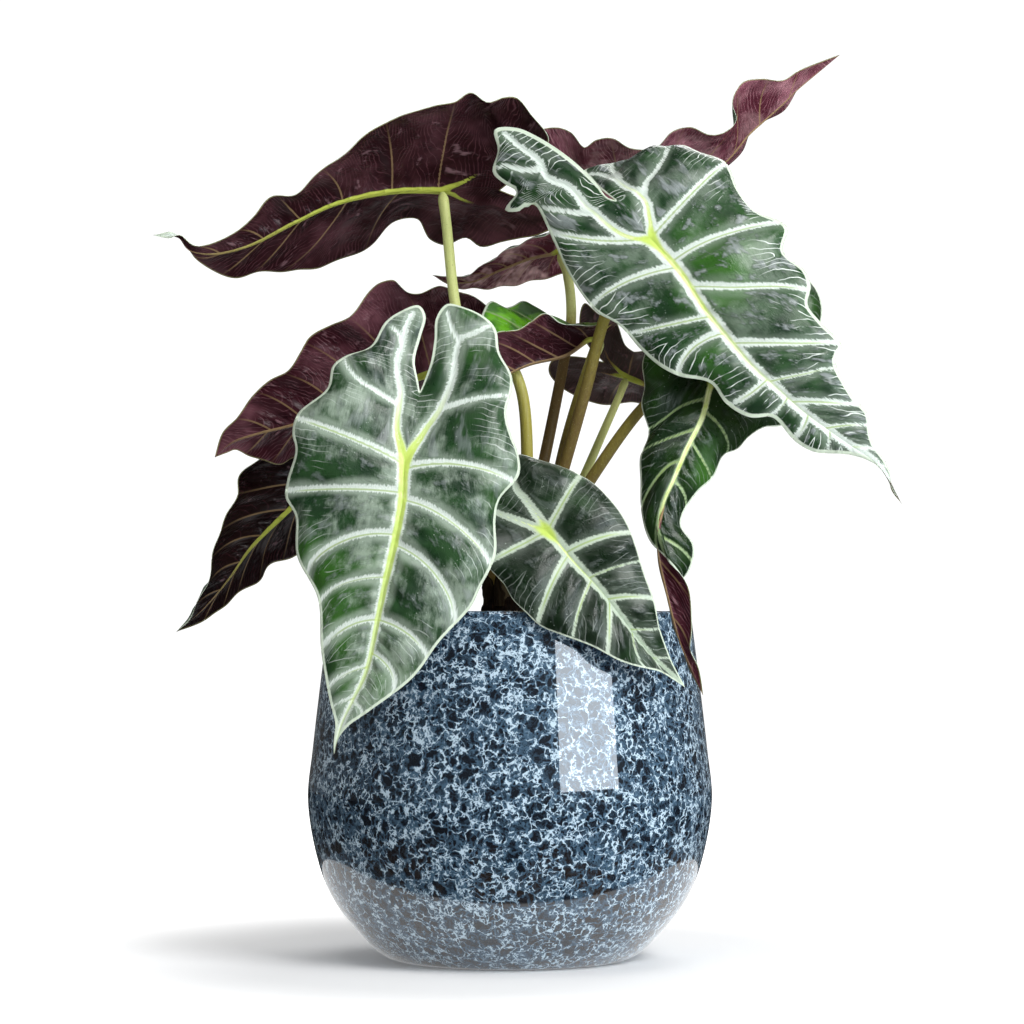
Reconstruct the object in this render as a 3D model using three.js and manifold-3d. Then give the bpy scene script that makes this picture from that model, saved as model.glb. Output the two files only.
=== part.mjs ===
// Potted Alocasia Polly: eleven arrow-shaped leaves on long leafstalks, standing in potting soil in
// a round glazed pot. Millimetres, +Z up, origin at the centre of the flat foot of the pot, the front
// of the plant towards -Y.
import * as THREE from 'three';
import { mergeVertices } from 'three/addons/utils/BufferGeometryUtils.js';
import Module from 'manifold-3d';

const wasm = await Module();
wasm.setup();

// Pot: the outside as [radius, height] points from the foot to under the lip
const POT_HEIGHT = 204;
const POT_OUTSIDE = [
  [72, 0], [84, 9], [103, 32], [113.5, 57], [119.5, 92], [116.5, 125], [112.5, 160], [107.5, 201],
];
const POT_WALL = 6;
const POT_FLOOR = 9;
const POT_CORNER = 2;
const POT_SIDES = 40;
const POT_STEPS = 13;
const LIP_STEPS = 4;

// Soil: its top rises to the middle and has shallow waves, set by their height, how many run round,
// and the radius over which they turn by one radian
const SOIL_EDGE_HEIGHT = 182;
const SOIL_MOUND = 9;
const SOIL_WAVE_HEIGHT = 1.4;
const SOIL_WAVES = 5;
const SOIL_WAVE_TURN = 9;
const SOIL_RINGS = 5;
const SOIL_SIDES = POT_SIDES;

// Crown: its lower end is rounded, given as [share of the radius, height above the bottom]
const CROWN_X = 3;
const CROWN_BOTTOM = 130;
const CROWN_ROOT = [[0.55, 5], [0.85, 22], [1, 50]];
const CROWN_SHOULDER = 207;
const CROWN_TOP = 213;
const CROWN_TOP_SHARE = 0.8;
const CROWN_RADIUS = 19.8;
const CROWN_SIDES = 20;

// Leafstalks stand in two rings of sockets in the crown
const INNER_RING = 5.4;
const OUTER_RING = 14.2;
const SOCKET_FLOOR = 200;
const COLLAR = 1;
const STALK_SIDES = 8;
const STALK_RINGS = 12;

// Blades, and the clearance between neighbouring pieces
const BLADE_THICKNESS = 1.0;
const GAP = 0.35;
const LOBE_ROWS = 4;
const BLADE_ROWS = 16;
const BLADE_COLUMNS = 3;
const RIPPLES = 6;

// Divisions for measuring a curve's length, and the distances under which points are one point
const CURVE_DIVISIONS = 400;
const SHEET_WELD = 1e-3;
const SOLID_WELD = 1e-4;

// The eleven leaves. Each has a stalk, given by the points between its socket and the blade; a spine,
// the middle line of the blade from the notch between the rear lobes over the stalk's join, its
// second point, to the tip; a left and a right margin, from the end of the rear lobe to the tip; and
// the points along each side of the notch. Left and right are those of the upper side, tip down.
// lobeShare is the part of a margin that belongs to the rear lobe, arch the rise of each half over
// its width, and ripple the height of the margin's waves.
const LEAVES = {
  // Hangs in front of the pot on the left, its green upper side to the front
  front_left: {
    socket: { angle: 240, ring: OUTER_RING },
    stalkRadius: { foot: 3.9, top: 2.7 },
    lobeShare: 0.24,
    arch: 0.07,
    ripple: 1.2,
    stalk: [
      [8, -22, 257], [10, -26, 295], [7, -26, 332], [0, -25, 349], [-11, -27, 359],
      [-23, -36, 359], [-37, -58, 349], [-48, -80, 329], [-55, -92, 304],
    ],
    spine: [
      [-51, -88, 328], [-59, -105, 287], [-60, -109, 266], [-64, -111, 243], [-69, -112, 221],
      [-73, -112, 202], [-80, -112, 170], [-88, -112, 153], [-94, -111, 140], [-98, -110, 124],
    ],
    left: [
      [-52, -78, 378], [-63, -80, 374], [-71, -82, 368], [-79, -87, 354], [-93, -92, 348],
      [-100, -95, 342], [-103, -98, 329], [-119, -102, 315], [-122, -103, 304],
      [-120, -104, 294], [-125, -103, 277], [-126, -103, 268], [-120, -104, 257],
      [-119, -107, 235], [-107, -111, 211], [-105, -113, 182], [-100, -112, 153],
      [-97, -112, 141], [-98, -111, 132], [-98, -110, 124],
    ],
    right: [
      [-36, -75, 379], [-26, -76, 377], [-14, -78, 371], [-8, -80, 364], [-6, -84, 351],
      [1, -89, 337], [1, -93, 327], [-2, -97, 316], [0, -99, 305], [5, -100, 291],
      [5, -101, 280], [-6, -104, 266], [-8, -106, 255], [-8, -110, 235], [-17, -112, 216],
      [-22, -113, 206], [-39, -114, 187], [-54, -114, 167], [-80, -113, 147], [-90, -112, 140],
      [-96, -111, 132], [-98, -110, 124],
    ],
    leftNotch: [
      [-48, -79, 372], [-51, -81, 359], [-54, -84, 346], [-52, -87, 334],
    ],
    rightNotch: [
      [-42, -77, 371], [-43, -80, 358], [-45, -84, 345], [-49, -87, 333],
    ],
  },
  // The largest, high on the right, its green upper side to the front
  right_high: {
    socket: { angle: 307, ring: INNER_RING },
    stalkRadius: { foot: 3.9, top: 3.2 },
    lobeShare: 0.27,
    arch: 0.07,
    ripple: 1.2,
    stalk: [
      [21, -12, 252], [32, -20, 290], [44, -33, 332], [55, -46, 374], [67, -53, 401],
    ],
    spine: [
      [61, -57, 441], [82, -62, 417], [98, -68, 398], [111, -73, 377], [124, -77, 360],
      [138, -81, 343], [152, -83, 330], [165, -85, 318], [178, -87, 308], [192, -88, 298],
      [206, -87, 289], [215, -84, 278], [223, -78, 265],
    ],
    left: [
      [-9, -38, 485], [-7, -38, 473], [-10, -38, 460], [-3, -40, 453], [4, -42, 448],
      [-3, -38, 438], [5, -42, 437], [13, -44, 441], [25, -50, 419], [33, -54, 401],
      [42, -57, 386], [50, -60, 376], [63, -63, 368], [75, -66, 354], [86, -69, 344],
      [97, -72, 338], [114, -76, 334], [123, -79, 322], [136, -82, 314], [149, -82, 314],
      [162, -84, 300], [173, -85, 294], [190, -86, 293], [202, -86, 290], [212, -84, 283],
      [223, -78, 265],
    ],
    right: [
      [44, -12, 465], [56, -10, 468], [69, -10, 470], [86, -16, 469], [92, -22, 475],
      [100, -28, 478], [111, -36, 472], [126, -44, 464], [132, -51, 449], [143, -57, 434],
      [156, -60, 428], [160, -62, 424], [157, -66, 411], [169, -69, 399], [172, -72, 389],
      [170, -74, 379], [177, -77, 369], [189, -79, 355], [185, -81, 346], [194, -83, 327],
      [203, -84, 316], [205, -85, 301], [214, -83, 287], [223, -78, 265],
    ],
    leftNotch: [
      [3, -40, 486], [18, -44, 479], [38, -50, 464], [51, -54, 450], [56, -56, 443],
    ],
    rightNotch: [
      [47, -28, 457], [53, -44, 449],
    ],
  },
  // Small and low, leaning over the rim in front
  front_centre: {
    socket: { angle: 285, ring: OUTER_RING },
    stalkRadius: { foot: 3.4, top: 2.3 },
    lobeShare: 0.22,
    arch: 0.08,
    ripple: 1.0,
    stalk: [
      [14, -40, 234], [17, -62, 256], [20, -84, 260],
    ],
    spine: [
      [-7, -90, 266], [21, -100, 248], [36, -103, 231], [50, -104, 216], [64, -103, 198],
      [79, -98, 179], [99, -88, 161],
    ],
    left: [
      [-22, -92, 264], [-25, -96, 252], [-20, -101, 239], [-11, -106, 227], [-3, -108, 219],
      [2, -110, 210], [9, -112, 203], [17, -113, 196], [30, -114, 190], [45, -114, 185],
      [59, -111, 177], [76, -105, 172], [86, -98, 169], [99, -88, 161],
    ],
    right: [
      [-6, -76, 285], [0, -75, 292], [6, -76, 293], [17, -78, 290], [28, -82, 286],
      [45, -88, 278], [55, -92, 268], [65, -96, 255], [71, -98, 239], [76, -98, 224],
      [81, -98, 209], [85, -96, 192], [90, -93, 178], [99, -88, 161],
    ],
    leftNotch: [
      [-15, -91, 267],
    ],
    rightNotch: [
      [-10, -82, 278],
    ],
  },
  // Hangs on the right behind the large one, its end twisted over
  right_low: {
    socket: { angle: 330, ring: OUTER_RING },
    stalkRadius: { foot: 3.8, top: 3.0 },
    lobeShare: 0.27,
    arch: 0.06,
    ripple: 1.0,
    stalk: [
      [27, -18, 246], [48, -26, 282], [79, -38, 324], [99, -42, 339],
    ],
    spine: [
      [133, -36, 359], [119, -48, 339], [116, -51, 334], [111, -58, 316], [101, -64, 296],
      [94, -68, 280], [87, -71, 264], [84, -75, 242], [89, -79, 215], [97, -80, 186],
      [110, -76, 156],
    ],
    left: [
      [111, -30, 376], [95, -34, 368], [81, -40, 358], [77, -43, 348], [78, -47, 334],
      [76, -50, 323], [80, -54, 307], [75, -58, 292], [75, -61, 279], [75, -65, 263],
      [80, -72, 244], [90, -83, 232], [101, -87, 216], [103, -86, 195], [102, -84, 182],
      [107, -80, 172], [110, -76, 156],
    ],
    right: [
      [167, -2, 407], [180, -4, 398], [185, -8, 384], [182, -12, 367], [176, -18, 343],
      [168, -24, 325], [160, -30, 313], [148, -36, 311], [138, -41, 305], [132, -45, 298],
      [124, -50, 294], [117, -56, 281], [107, -61, 272], [98, -67, 254], [105, -69, 241],
      [102, -68, 227], [93, -70, 215], [92, -73, 198], [98, -75, 182], [103, -76, 169],
      [110, -76, 156],
    ],
    leftNotch: [
      [120, -32, 369],
    ],
    rightNotch: [
      [153, -14, 394], [141, -28, 375],
    ],
  },
  // High on the left, tip to the left, seen from its dark underside
  left_high: {
    socket: { angle: 195, ring: OUTER_RING },
    stalkRadius: { foot: 3.9, top: 2.9 },
    lobeShare: 0.25,
    arch: 0.05,
    ripple: 1.6,
    stalk: [
      [-9, -8, 258], [-21, -4, 329], [-33, 0, 389], [-38, 8, 435],
    ],
    spine: [
      [-6, 22, 458], [-41, 15, 458], [-71, 10, 456], [-104, 6, 448], [-127, 4, 437],
      [-156, 2, 422], [-177, 0, 417], [-191, -2, 419], [-197, -6, 426], [-212, -8, 427],
    ],
    left: [
      [31, 52, 443], [18, 55, 435], [6, 57, 433], [-6, 58, 431], [-18, 56, 428], [-27, 55, 433],
      [-39, 56, 428], [-49, 54, 432], [-56, 46, 444], [-69, 50, 442], [-85, 54, 430],
      [-99, 50, 421], [-115, 42, 413], [-129, 34, 412], [-139, 30, 409], [-152, 24, 408],
      [-165, 20, 405], [-178, 12, 408], [-188, 4, 414], [-196, -2, 425], [-212, -8, 427],
    ],
    right: [
      [23, -12, 483], [12, -22, 497], [4, -26, 506], [-4, -28, 506], [-13, -29, 503],
      [-23, -31, 508], [-32, -32, 502], [-46, -33, 500], [-60, -33, 496], [-73, -32, 489],
      [-88, -29, 482], [-102, -24, 469], [-117, -19, 459], [-128, -14, 451], [-141, -13, 449],
      [-152, -9, 438], [-169, -6, 426], [-181, -5, 421], [-188, -6, 421], [-197, -9, 428],
      [-212, -8, 427],
    ],
    leftNotch: [
      [15, 42, 452],
    ],
    rightNotch: [
      [12, 2, 470],
    ],
  },
  // High at the back, tip up to the right, seen along its dark underside
  right_back: {
    socket: { angle: 60, ring: OUTER_RING },
    stalkRadius: { foot: 3.8, top: 2.8 },
    lobeShare: 0.12,
    arch: 0.02,
    ripple: 1.0,
    stalk: [
      [23, 18, 259], [34, 32, 307], [47, 44, 350], [59, 54, 382], [70, 62, 405], [72, 68, 435],
    ],
    spine: [
      [40, 66, 463], [56, 68, 458], [93, 70, 466], [118, 71, 475], [133, 72, 483],
      [148, 73, 500], [158, 74, 509], [168, 74, 518], [178, 74, 528], [205, 74, 550],
    ],
    left: [
      [16, 28, 494], [28, 28, 497], [37, 28, 494], [45, 30, 485], [52, 26, 489], [62, 24, 490],
      [73, 26, 484], [88, 26, 484], [98, 24, 494], [109, 26, 497], [121, 32, 493],
      [130, 36, 495], [138, 42, 504], [136, 44, 515], [143, 48, 528], [155, 52, 531],
      [168, 58, 531], [180, 66, 539], [205, 74, 550],
    ],
    right: [
      [24, 106, 454], [44, 112, 450], [70, 118, 451], [95, 120, 458], [117, 118, 468],
      [138, 112, 486], [147, 108, 495], [152, 104, 506], [160, 98, 512], [172, 90, 518],
      [183, 80, 534], [205, 74, 550],
    ],
    leftNotch: [
      [23, 38, 485], [31, 52, 473],
    ],
    rightNotch: [
      [31, 88, 456],
    ],
  },
  // Small, at the back, tip to the left
  back_small: {
    socket: { angle: 187, ring: INNER_RING },
    stalkRadius: { foot: 3.8, top: 2.9 },
    lobeShare: 0.25,
    arch: 0.1,
    ripple: 0.8,
    stalk: [
      [12, 2, 258], [21, 8, 297], [32, 22, 352], [37, 32, 380], [35, 44, 409],
    ],
    spine: [
      [46, 54, 437], [29, 50, 426], [12, 48, 421], [-6, 45, 413], [-24, 41, 405], [-38, 38, 405],
      [-47, 34, 408],
    ],
    left: [
      [60, 80, 429], [51, 82, 421], [34, 81, 414], [19, 78, 410], [-6, 68, 404], [-22, 58, 402],
      [-35, 46, 402], [-47, 34, 408],
    ],
    right: [
      [54, 24, 449], [39, 24, 442], [23, 24, 432], [6, 25, 426], [-12, 27, 416], [-27, 30, 407],
      [-39, 33, 407], [-47, 34, 408],
    ],
    leftNotch: [
      [54, 68, 433],
    ],
    rightNotch: [
      [52, 38, 443],
    ],
  },
  // Small, in the middle, folded along its middle line
  centre_folded: {
    socket: { angle: 67, ring: INNER_RING },
    stalkRadius: { foot: 3.3, top: 2.3 },
    lobeShare: 0.22,
    arch: 0.04,
    ripple: 0.8,
    stalk: [
      [21, 4, 252], [35, 2, 300], [46, -4, 341],
    ],
    spine: [
      [62, -6, 373], [53, -10, 367], [46, -14, 365], [33, -22, 355], [11, -34, 348],
      [-1, -41, 342], [-14, -50, 334], [-26, -58, 324],
    ],
    left: [
      [72, 8, 382], [61, 4, 379], [48, 0, 374], [34, -5, 369], [25, -6, 371], [16, -5, 381],
      [8, -6, 388], [1, -8, 385], [-4, -11, 384], [-12, -18, 386], [-16, -26, 379],
      [-21, -44, 356], [-26, -58, 324],
    ],
    right: [
      [69, -36, 376], [60, -38, 374], [47, -40, 370], [38, -42, 370], [29, -44, 372],
      [20, -46, 376], [12, -50, 372], [5, -54, 366], [-7, -58, 365], [-16, -60, 354],
      [-26, -58, 324],
    ],
    leftNotch: [
      [68, 2, 378],
    ],
    rightNotch: [
      [66, -20, 375],
    ],
  },
  // Small, behind on the right, tip to the right
  right_behind: {
    socket: { angle: 15, ring: OUTER_RING },
    stalkRadius: { foot: 3.3, top: 2.2 },
    lobeShare: 0.25,
    arch: 0.1,
    ripple: 1.0,
    stalk: [
      [30, 12, 252], [45, 20, 286], [59, 31, 318],
    ],
    spine: [
      [57, 46, 356], [72, 42, 347], [91, 37, 339], [109, 31, 332], [127, 25, 325],
      [145, 18, 322],
    ],
    left: [
      [45, 26, 390], [54, 26, 383], [64, 26, 379], [69, 27, 365], [75, 24, 361], [81, 18, 360],
      [102, 10, 355], [122, 6, 347], [137, 8, 335], [145, 18, 322],
    ],
    right: [
      [25, 74, 358], [24, 76, 352], [29, 78, 345], [40, 78, 338], [55, 78, 332], [69, 76, 333],
      [84, 72, 331], [105, 62, 323], [125, 44, 315], [139, 28, 316], [145, 18, 322],
    ],
    leftNotch: [
      [42, 31, 379], [47, 38, 366],
    ],
    rightNotch: [
      [32, 68, 361], [44, 58, 360],
    ],
  },
  // On the left behind the front one, tip to the left, dark underside to the front
  left_middle: {
    socket: { angle: 150, ring: OUTER_RING },
    stalkRadius: { foot: 3.8, top: 2.6 },
    lobeShare: 0.2,
    arch: 0.05,
    ripple: 1.4,
    stalk: [
      [-8, 16, 259], [-21, 28, 301], [-33, 42, 335],
    ],
    spine: [
      [-23, 54, 363], [-38, 48, 354], [-52, 44, 348], [-79, 40, 338], [-103, 38, 328],
      [-132, 36, 317], [-152, 35, 312], [-167, 34, 307], [-174, 33, 302], [-179, 33, 297],
    ],
    left: [
      [-9, 80, 340], [-25, 84, 329], [-44, 86, 318], [-65, 86, 309], [-87, 84, 304],
      [-112, 78, 300], [-127, 70, 300], [-134, 62, 297], [-141, 57, 294], [-150, 50, 296],
      [-159, 45, 298], [-167, 39, 302], [-172, 36, 300], [-179, 33, 297],
    ],
    right: [
      [-11, 14, 383], [-21, 12, 392], [-32, 12, 396], [-42, 12, 399], [-54, 14, 394],
      [-61, 14, 395], [-69, 14, 403], [-78, 14, 401], [-84, 15, 396], [-96, 18, 382],
      [-108, 21, 376], [-121, 23, 369], [-127, 25, 360], [-134, 26, 349], [-146, 28, 343],
      [-156, 29, 334], [-165, 30, 321], [-174, 31, 312], [-179, 33, 297],
    ],
    leftNotch: [
      [-15, 68, 352],
    ],
    rightNotch: [
      [-15, 34, 371],
    ],
  },
  // Low at the back on the left, tip down to the left
  left_low: {
    socket: { angle: 105, ring: OUTER_RING },
    stalkRadius: { foot: 3.8, top: 2.7 },
    lobeShare: 0.25,
    arch: 0.1,
    ripple: 1.4,
    stalk: [
      [-12, 30, 247], [-29, 56, 278], [-53, 80, 296], [-78, 96, 304], [-99, 103, 302],
    ],
    spine: [
      [-93, 104, 317], [-110, 102, 299], [-137, 96, 269], [-162, 88, 243], [-175, 82, 224],
      [-189, 76, 207], [-206, 68, 191],
    ],
    left: [
      [-71, 138, 293], [-84, 144, 272], [-103, 144, 255], [-122, 138, 244], [-138, 130, 239],
      [-150, 122, 234], [-157, 114, 225], [-166, 104, 218], [-173, 96, 212], [-182, 86, 204],
      [-189, 79, 198], [-206, 68, 191],
    ],
    right: [
      [-102, 76, 336], [-118, 74, 327], [-130, 74, 317], [-146, 74, 306], [-158, 72, 296],
      [-167, 68, 287], [-169, 64, 274], [-174, 60, 262], [-181, 57, 246], [-183, 57, 229],
      [-191, 60, 211], [-197, 64, 199], [-206, 68, 191],
    ],
    leftNotch: [
      [-81, 122, 305],
    ],
    rightNotch: [
      [-98, 92, 327],
    ],
  },
};

const COLOURS = {
  glaze: { color: '#22384f', roughness: 0.15 },
  soil: { color: '#2b2019', roughness: 0.95 },
  crown: { color: '#33201a', roughness: 0.8 },
  stalk: { color: '#8a8a2e', roughness: 0.5 },
  green: { color: '#2e5a3c', roughness: 0.45 },
};

function vectors(points) {
  return points.map(([x, y, z]) => new THREE.Vector3(x, y, z));
}

function curveThrough(points) {
  const curve = new THREE.CatmullRomCurve3(points, false, 'centripetal');
  curve.arcLengthDivisions = CURVE_DIVISIONS;
  return curve;
}

// The edge curves of one half of a blade
function halfCurves(leaf, side) {
  const margin = vectors(leaf[side]);
  const spine = vectors(leaf.spine);
  const notch = [margin[0], ...vectors(leaf[`${side}Notch`]), spine[0]];
  return {
    margin: curveThrough(margin),
    notch: curveThrough(notch),
    spine: curveThrough(spine),
  };
}

// A row of a half blade runs straight from the notch edge, or from the middle line, to the margin.
// The first LOBE_ROWS rows belong to the rear lobe.
function rowEnds(curves, row, lobeShare) {
  const lobe = Math.min(row / LOBE_ROWS, 1);
  const front = Math.max((row - LOBE_ROWS) / BLADE_ROWS, 0);
  const inner = row < LOBE_ROWS ? curves.notch.getPointAt(lobe) : curves.spine.getPointAt(front);
  const outer = curves.margin.getPointAt(lobeShare * lobe + (1 - lobeShare) * front);
  return [inner, outer];
}

// The straight rows of a half blade, each as its points from the inside to the margin
function flatRows(leaf, side) {
  const curves = halfCurves(leaf, side);
  const rows = [];
  for (let row = 0; row <= LOBE_ROWS + BLADE_ROWS; row += 1) {
    const [inner, outer] = rowEnds(curves, row, leaf.lobeShare);
    const line = [];
    for (let column = 0; column <= BLADE_COLUMNS; column += 1) {
      line.push(inner.clone().lerp(outer, column / BLADE_COLUMNS));
    }
    rows.push(line);
  }
  return rows;
}

// The rows of a half blade, arched between the middle line and the margin and waved along the
// margin. Both are lifts along the normal of the upper side.
function halfGrid(leaf, side) {
  const flat = flatRows(leaf, side);
  const last = flat.length - 1;
  return flat.map((line, row) => {
    const before = flat[Math.max(row - 1, 0)];
    const after = flat[Math.min(row + 1, last)];
    const across = line[BLADE_COLUMNS].clone().sub(line[0]);
    const width = across.length();
    if (side === 'left') {
      across.negate();
    }
    const along = row / last;
    const wave = leaf.ripple * Math.sin(2 * Math.PI * RIPPLES * along) * Math.sin(Math.PI * along);
    return line.map((point, column) => {
      const share = column / BLADE_COLUMNS;
      const normal = after[column].clone().sub(before[column]).cross(across).normalize();
      const lift = 4 * leaf.arch * width * share * (1 - share) + wave * share * share;
      return point.clone().addScaledVector(normal, lift);
    });
  });
}

// The middle surface of a blade. Its halves share the middle line, and every quad is cut along the
// same diagonal.
function bladeSheet(leaf) {
  const positions = [];
  for (const side of ['left', 'right']) {
    const grid = halfGrid(leaf, side);
    for (let row = 0; row < grid.length - 1; row += 1) {
      for (let column = 0; column < BLADE_COLUMNS; column += 1) {
        const a = grid[row][column];
        const b = grid[row + 1][column];
        const c = grid[row + 1][column + 1];
        const d = grid[row][column + 1];
        const faces = side === 'right' ? [a, b, c, a, c, d] : [a, c, b, a, d, c];
        faces.forEach((point) => positions.push(point.x, point.y, point.z));
      }
    }
  }
  const geometry = new THREE.BufferGeometry();
  geometry.setAttribute('position', new THREE.Float32BufferAttribute(positions, 3));
  return mergeVertices(geometry, SHEET_WELD);
}

// The triangles of an index, without those that the ends of the rows close up
function openTriangles(index) {
  const kept = [];
  for (let corner = 0; corner < index.length; corner += 3) {
    const [a, b, c] = index.slice(corner, corner + 3);
    if (a !== b && b !== c && c !== a) {
      kept.push([a, b, c]);
    }
  }
  return kept;
}

// Gives a sheet its thickness, half to each side along its own normals, with a narrow wall along
// every open edge
function thicken(sheet, thickness) {
  const triangles = openTriangles([...sheet.index.array]);
  const middle = new THREE.BufferGeometry();
  middle.setAttribute('position', sheet.attributes.position);
  middle.setIndex(triangles.flat());
  middle.computeVertexNormals();
  const count = middle.attributes.position.count;
  const point = new THREE.Vector3();
  const normal = new THREE.Vector3();
  const positions = [];
  for (const half of [thickness / 2, -thickness / 2]) {
    for (let i = 0; i < count; i += 1) {
      point.fromBufferAttribute(middle.attributes.position, i);
      normal.fromBufferAttribute(middle.attributes.normal, i);
      point.addScaledVector(normal, half);
      positions.push(point.x, point.y, point.z);
    }
  }
  const edges = new Set(triangles.flatMap(([a, b, c]) => [`${a},${b}`, `${b},${c}`, `${c},${a}`]));
  const faces = [];
  for (const [a, b, c] of triangles) {
    faces.push(a, b, c, a + count, c + count, b + count);
    for (const [from, to] of [[a, b], [b, c], [c, a]]) {
      if (!edges.has(`${to},${from}`)) {
        faces.push(to, from, from + count, to, from + count, to + count);
      }
    }
  }
  const solid = new THREE.BufferGeometry();
  solid.setAttribute('position', new THREE.Float32BufferAttribute(positions, 3));
  solid.setIndex(faces);
  return solid;
}

// A round stalk along a curve, thinning evenly from its foot to its top, with flat ends
function roundStalk(path, footRadius, topRadius) {
  const frames = path.computeFrenetFrames(STALK_RINGS, false);
  const positions = [];
  const faces = [];
  for (let ring = 0; ring <= STALK_RINGS; ring += 1) {
    const centre = path.getPointAt(ring / STALK_RINGS);
    const radius = THREE.MathUtils.lerp(footRadius, topRadius, ring / STALK_RINGS);
    for (let side = 0; side < STALK_SIDES; side += 1) {
      const angle = (2 * Math.PI * side) / STALK_SIDES;
      const point = centre.clone();
      point.addScaledVector(frames.normals[ring], radius * Math.cos(angle));
      point.addScaledVector(frames.binormals[ring], radius * Math.sin(angle));
      positions.push(point.x, point.y, point.z);
      if (ring < STALK_RINGS) {
        const a = ring * STALK_SIDES + side;
        const b = ring * STALK_SIDES + ((side + 1) % STALK_SIDES);
        faces.push(a, b, b + STALK_SIDES, a, b + STALK_SIDES, a + STALK_SIDES);
      }
    }
  }
  const top = STALK_RINGS * STALK_SIDES;
  for (let side = 1; side < STALK_SIDES - 1; side += 1) {
    faces.push(0, side + 1, side, top, top + side, top + side + 1);
  }
  const geometry = new THREE.BufferGeometry();
  geometry.setAttribute('position', new THREE.Float32BufferAttribute(positions, 3));
  geometry.setIndex(faces);
  return geometry;
}

// The curve of a stalk from the floor of its socket to the middle of its blade
function stalkPath(leaf, floor) {
  const angle = THREE.MathUtils.degToRad(leaf.socket.angle);
  const x = CROWN_X + leaf.socket.ring * Math.cos(angle);
  const y = leaf.socket.ring * Math.sin(angle);
  const foot = new THREE.Vector3(x, y, floor);
  const collar = new THREE.Vector3(x, y, CROWN_TOP + COLLAR);
  const join = vectors(leaf.spine)[1];
  return curveThrough([foot, collar, ...vectors(leaf.stalk), join]);
}

function toSolid(geometry) {
  const bare = new THREE.BufferGeometry();
  bare.setAttribute('position', geometry.attributes.position);
  bare.setIndex(geometry.index);
  const merged = mergeVertices(bare, SOLID_WELD);
  const triVerts = new Uint32Array(openTriangles([...merged.index.array]).flat());
  const vertProperties = new Float32Array(merged.attributes.position.array);
  return new wasm.Manifold(new wasm.Mesh({ numProp: 3, vertProperties, triVerts }));
}

function toGeometry(solid) {
  const mesh = solid.getMesh();
  const geometry = new THREE.BufferGeometry();
  geometry.setAttribute('position', new THREE.BufferAttribute(mesh.vertProperties, 3));
  geometry.setIndex(new THREE.BufferAttribute(mesh.triVerts, 1));
  return geometry;
}

function largestPiece(solid) {
  return solid.decompose().reduce((best, piece) => (piece.volume() > best.volume() ? piece : best));
}

// A stalk ends against the underside of its blade, a hair's gap below it
function leafstalk(leaf) {
  const { foot, top } = leaf.stalkRadius;
  const whole = toSolid(roundStalk(stalkPath(leaf, SOCKET_FLOOR + GAP), foot, top));
  const blade = toSolid(thicken(bladeSheet(leaf), BLADE_THICKNESS + 2 * GAP));
  return toGeometry(largestPiece(whole.subtract(blade)));
}

function turned(profile, sides) {
  const points = profile.map(([radius, height]) => new THREE.Vector2(radius, height));
  return new THREE.LatheGeometry(points, sides).rotateX(Math.PI / 2);
}

// Points [radius, height] on the pot's wall, at a depth inside its outer face
function wallPoints(depth, bottom, top) {
  const corners = POT_OUTSIDE.map(([radius, height]) => new THREE.Vector2(radius, height));
  const outside = new THREE.SplineCurve(corners);
  const points = [];
  for (let step = 0; step <= POT_STEPS; step += 1) {
    const point = outside.getPointAt(step / POT_STEPS);
    const tangent = outside.getTangentAt(step / POT_STEPS);
    const radius = point.x - tangent.y * depth;
    const height = point.y + tangent.x * depth;
    if (height >= bottom && height <= top) {
      points.push([radius, height]);
    }
  }
  return points;
}

// The inside of the pot at a depth, from the axis over the floor's corner up the wall
function insidePoints(depth, floor, top) {
  const wall = wallPoints(depth, floor + POT_CORNER, top);
  const [radius, height] = wall[0];
  return [[0, floor], [radius - (height - floor), floor], ...wall];
}

function pot() {
  const outside = wallPoints(0, 0, POT_HEIGHT);
  const rim = outside[outside.length - 1];
  const lip = [];
  const half = POT_WALL / 2;
  for (let step = 1; step < LIP_STEPS; step += 1) {
    const angle = (Math.PI * step) / LIP_STEPS;
    lip.push([rim[0] - half + half * Math.cos(angle), rim[1] + half * Math.sin(angle)]);
  }
  const inside = insidePoints(POT_WALL, POT_FLOOR, POT_HEIGHT).reverse();
  return turned([[0, 0], ...outside, ...lip, ...inside], POT_SIDES);
}

function crownProfile(growth) {
  const radius = CROWN_RADIUS + growth;
  const bottom = CROWN_BOTTOM - growth;
  const top = CROWN_TOP + growth;
  const root = CROWN_ROOT.map(([share, rise]) => [share * radius, bottom + rise]);
  return [[0, bottom], ...root, [radius, CROWN_SHOULDER], [CROWN_TOP_SHARE * radius, top], [0, top]];
}

// The crown is moved to its place beside the pot's axis before its sockets are cut
function crownSolid(growth) {
  return toSolid(turned(crownProfile(growth), CROWN_SIDES).translate(CROWN_X, 0, 0));
}

function crown() {
  let solid = crownSolid(0);
  for (const leaf of Object.values(LEAVES)) {
    const { foot, top } = leaf.stalkRadius;
    const socket = roundStalk(stalkPath(leaf, SOCKET_FLOOR), foot + GAP, top + GAP);
    solid = solid.subtract(toSolid(socket));
  }
  return toGeometry(solid);
}

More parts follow.
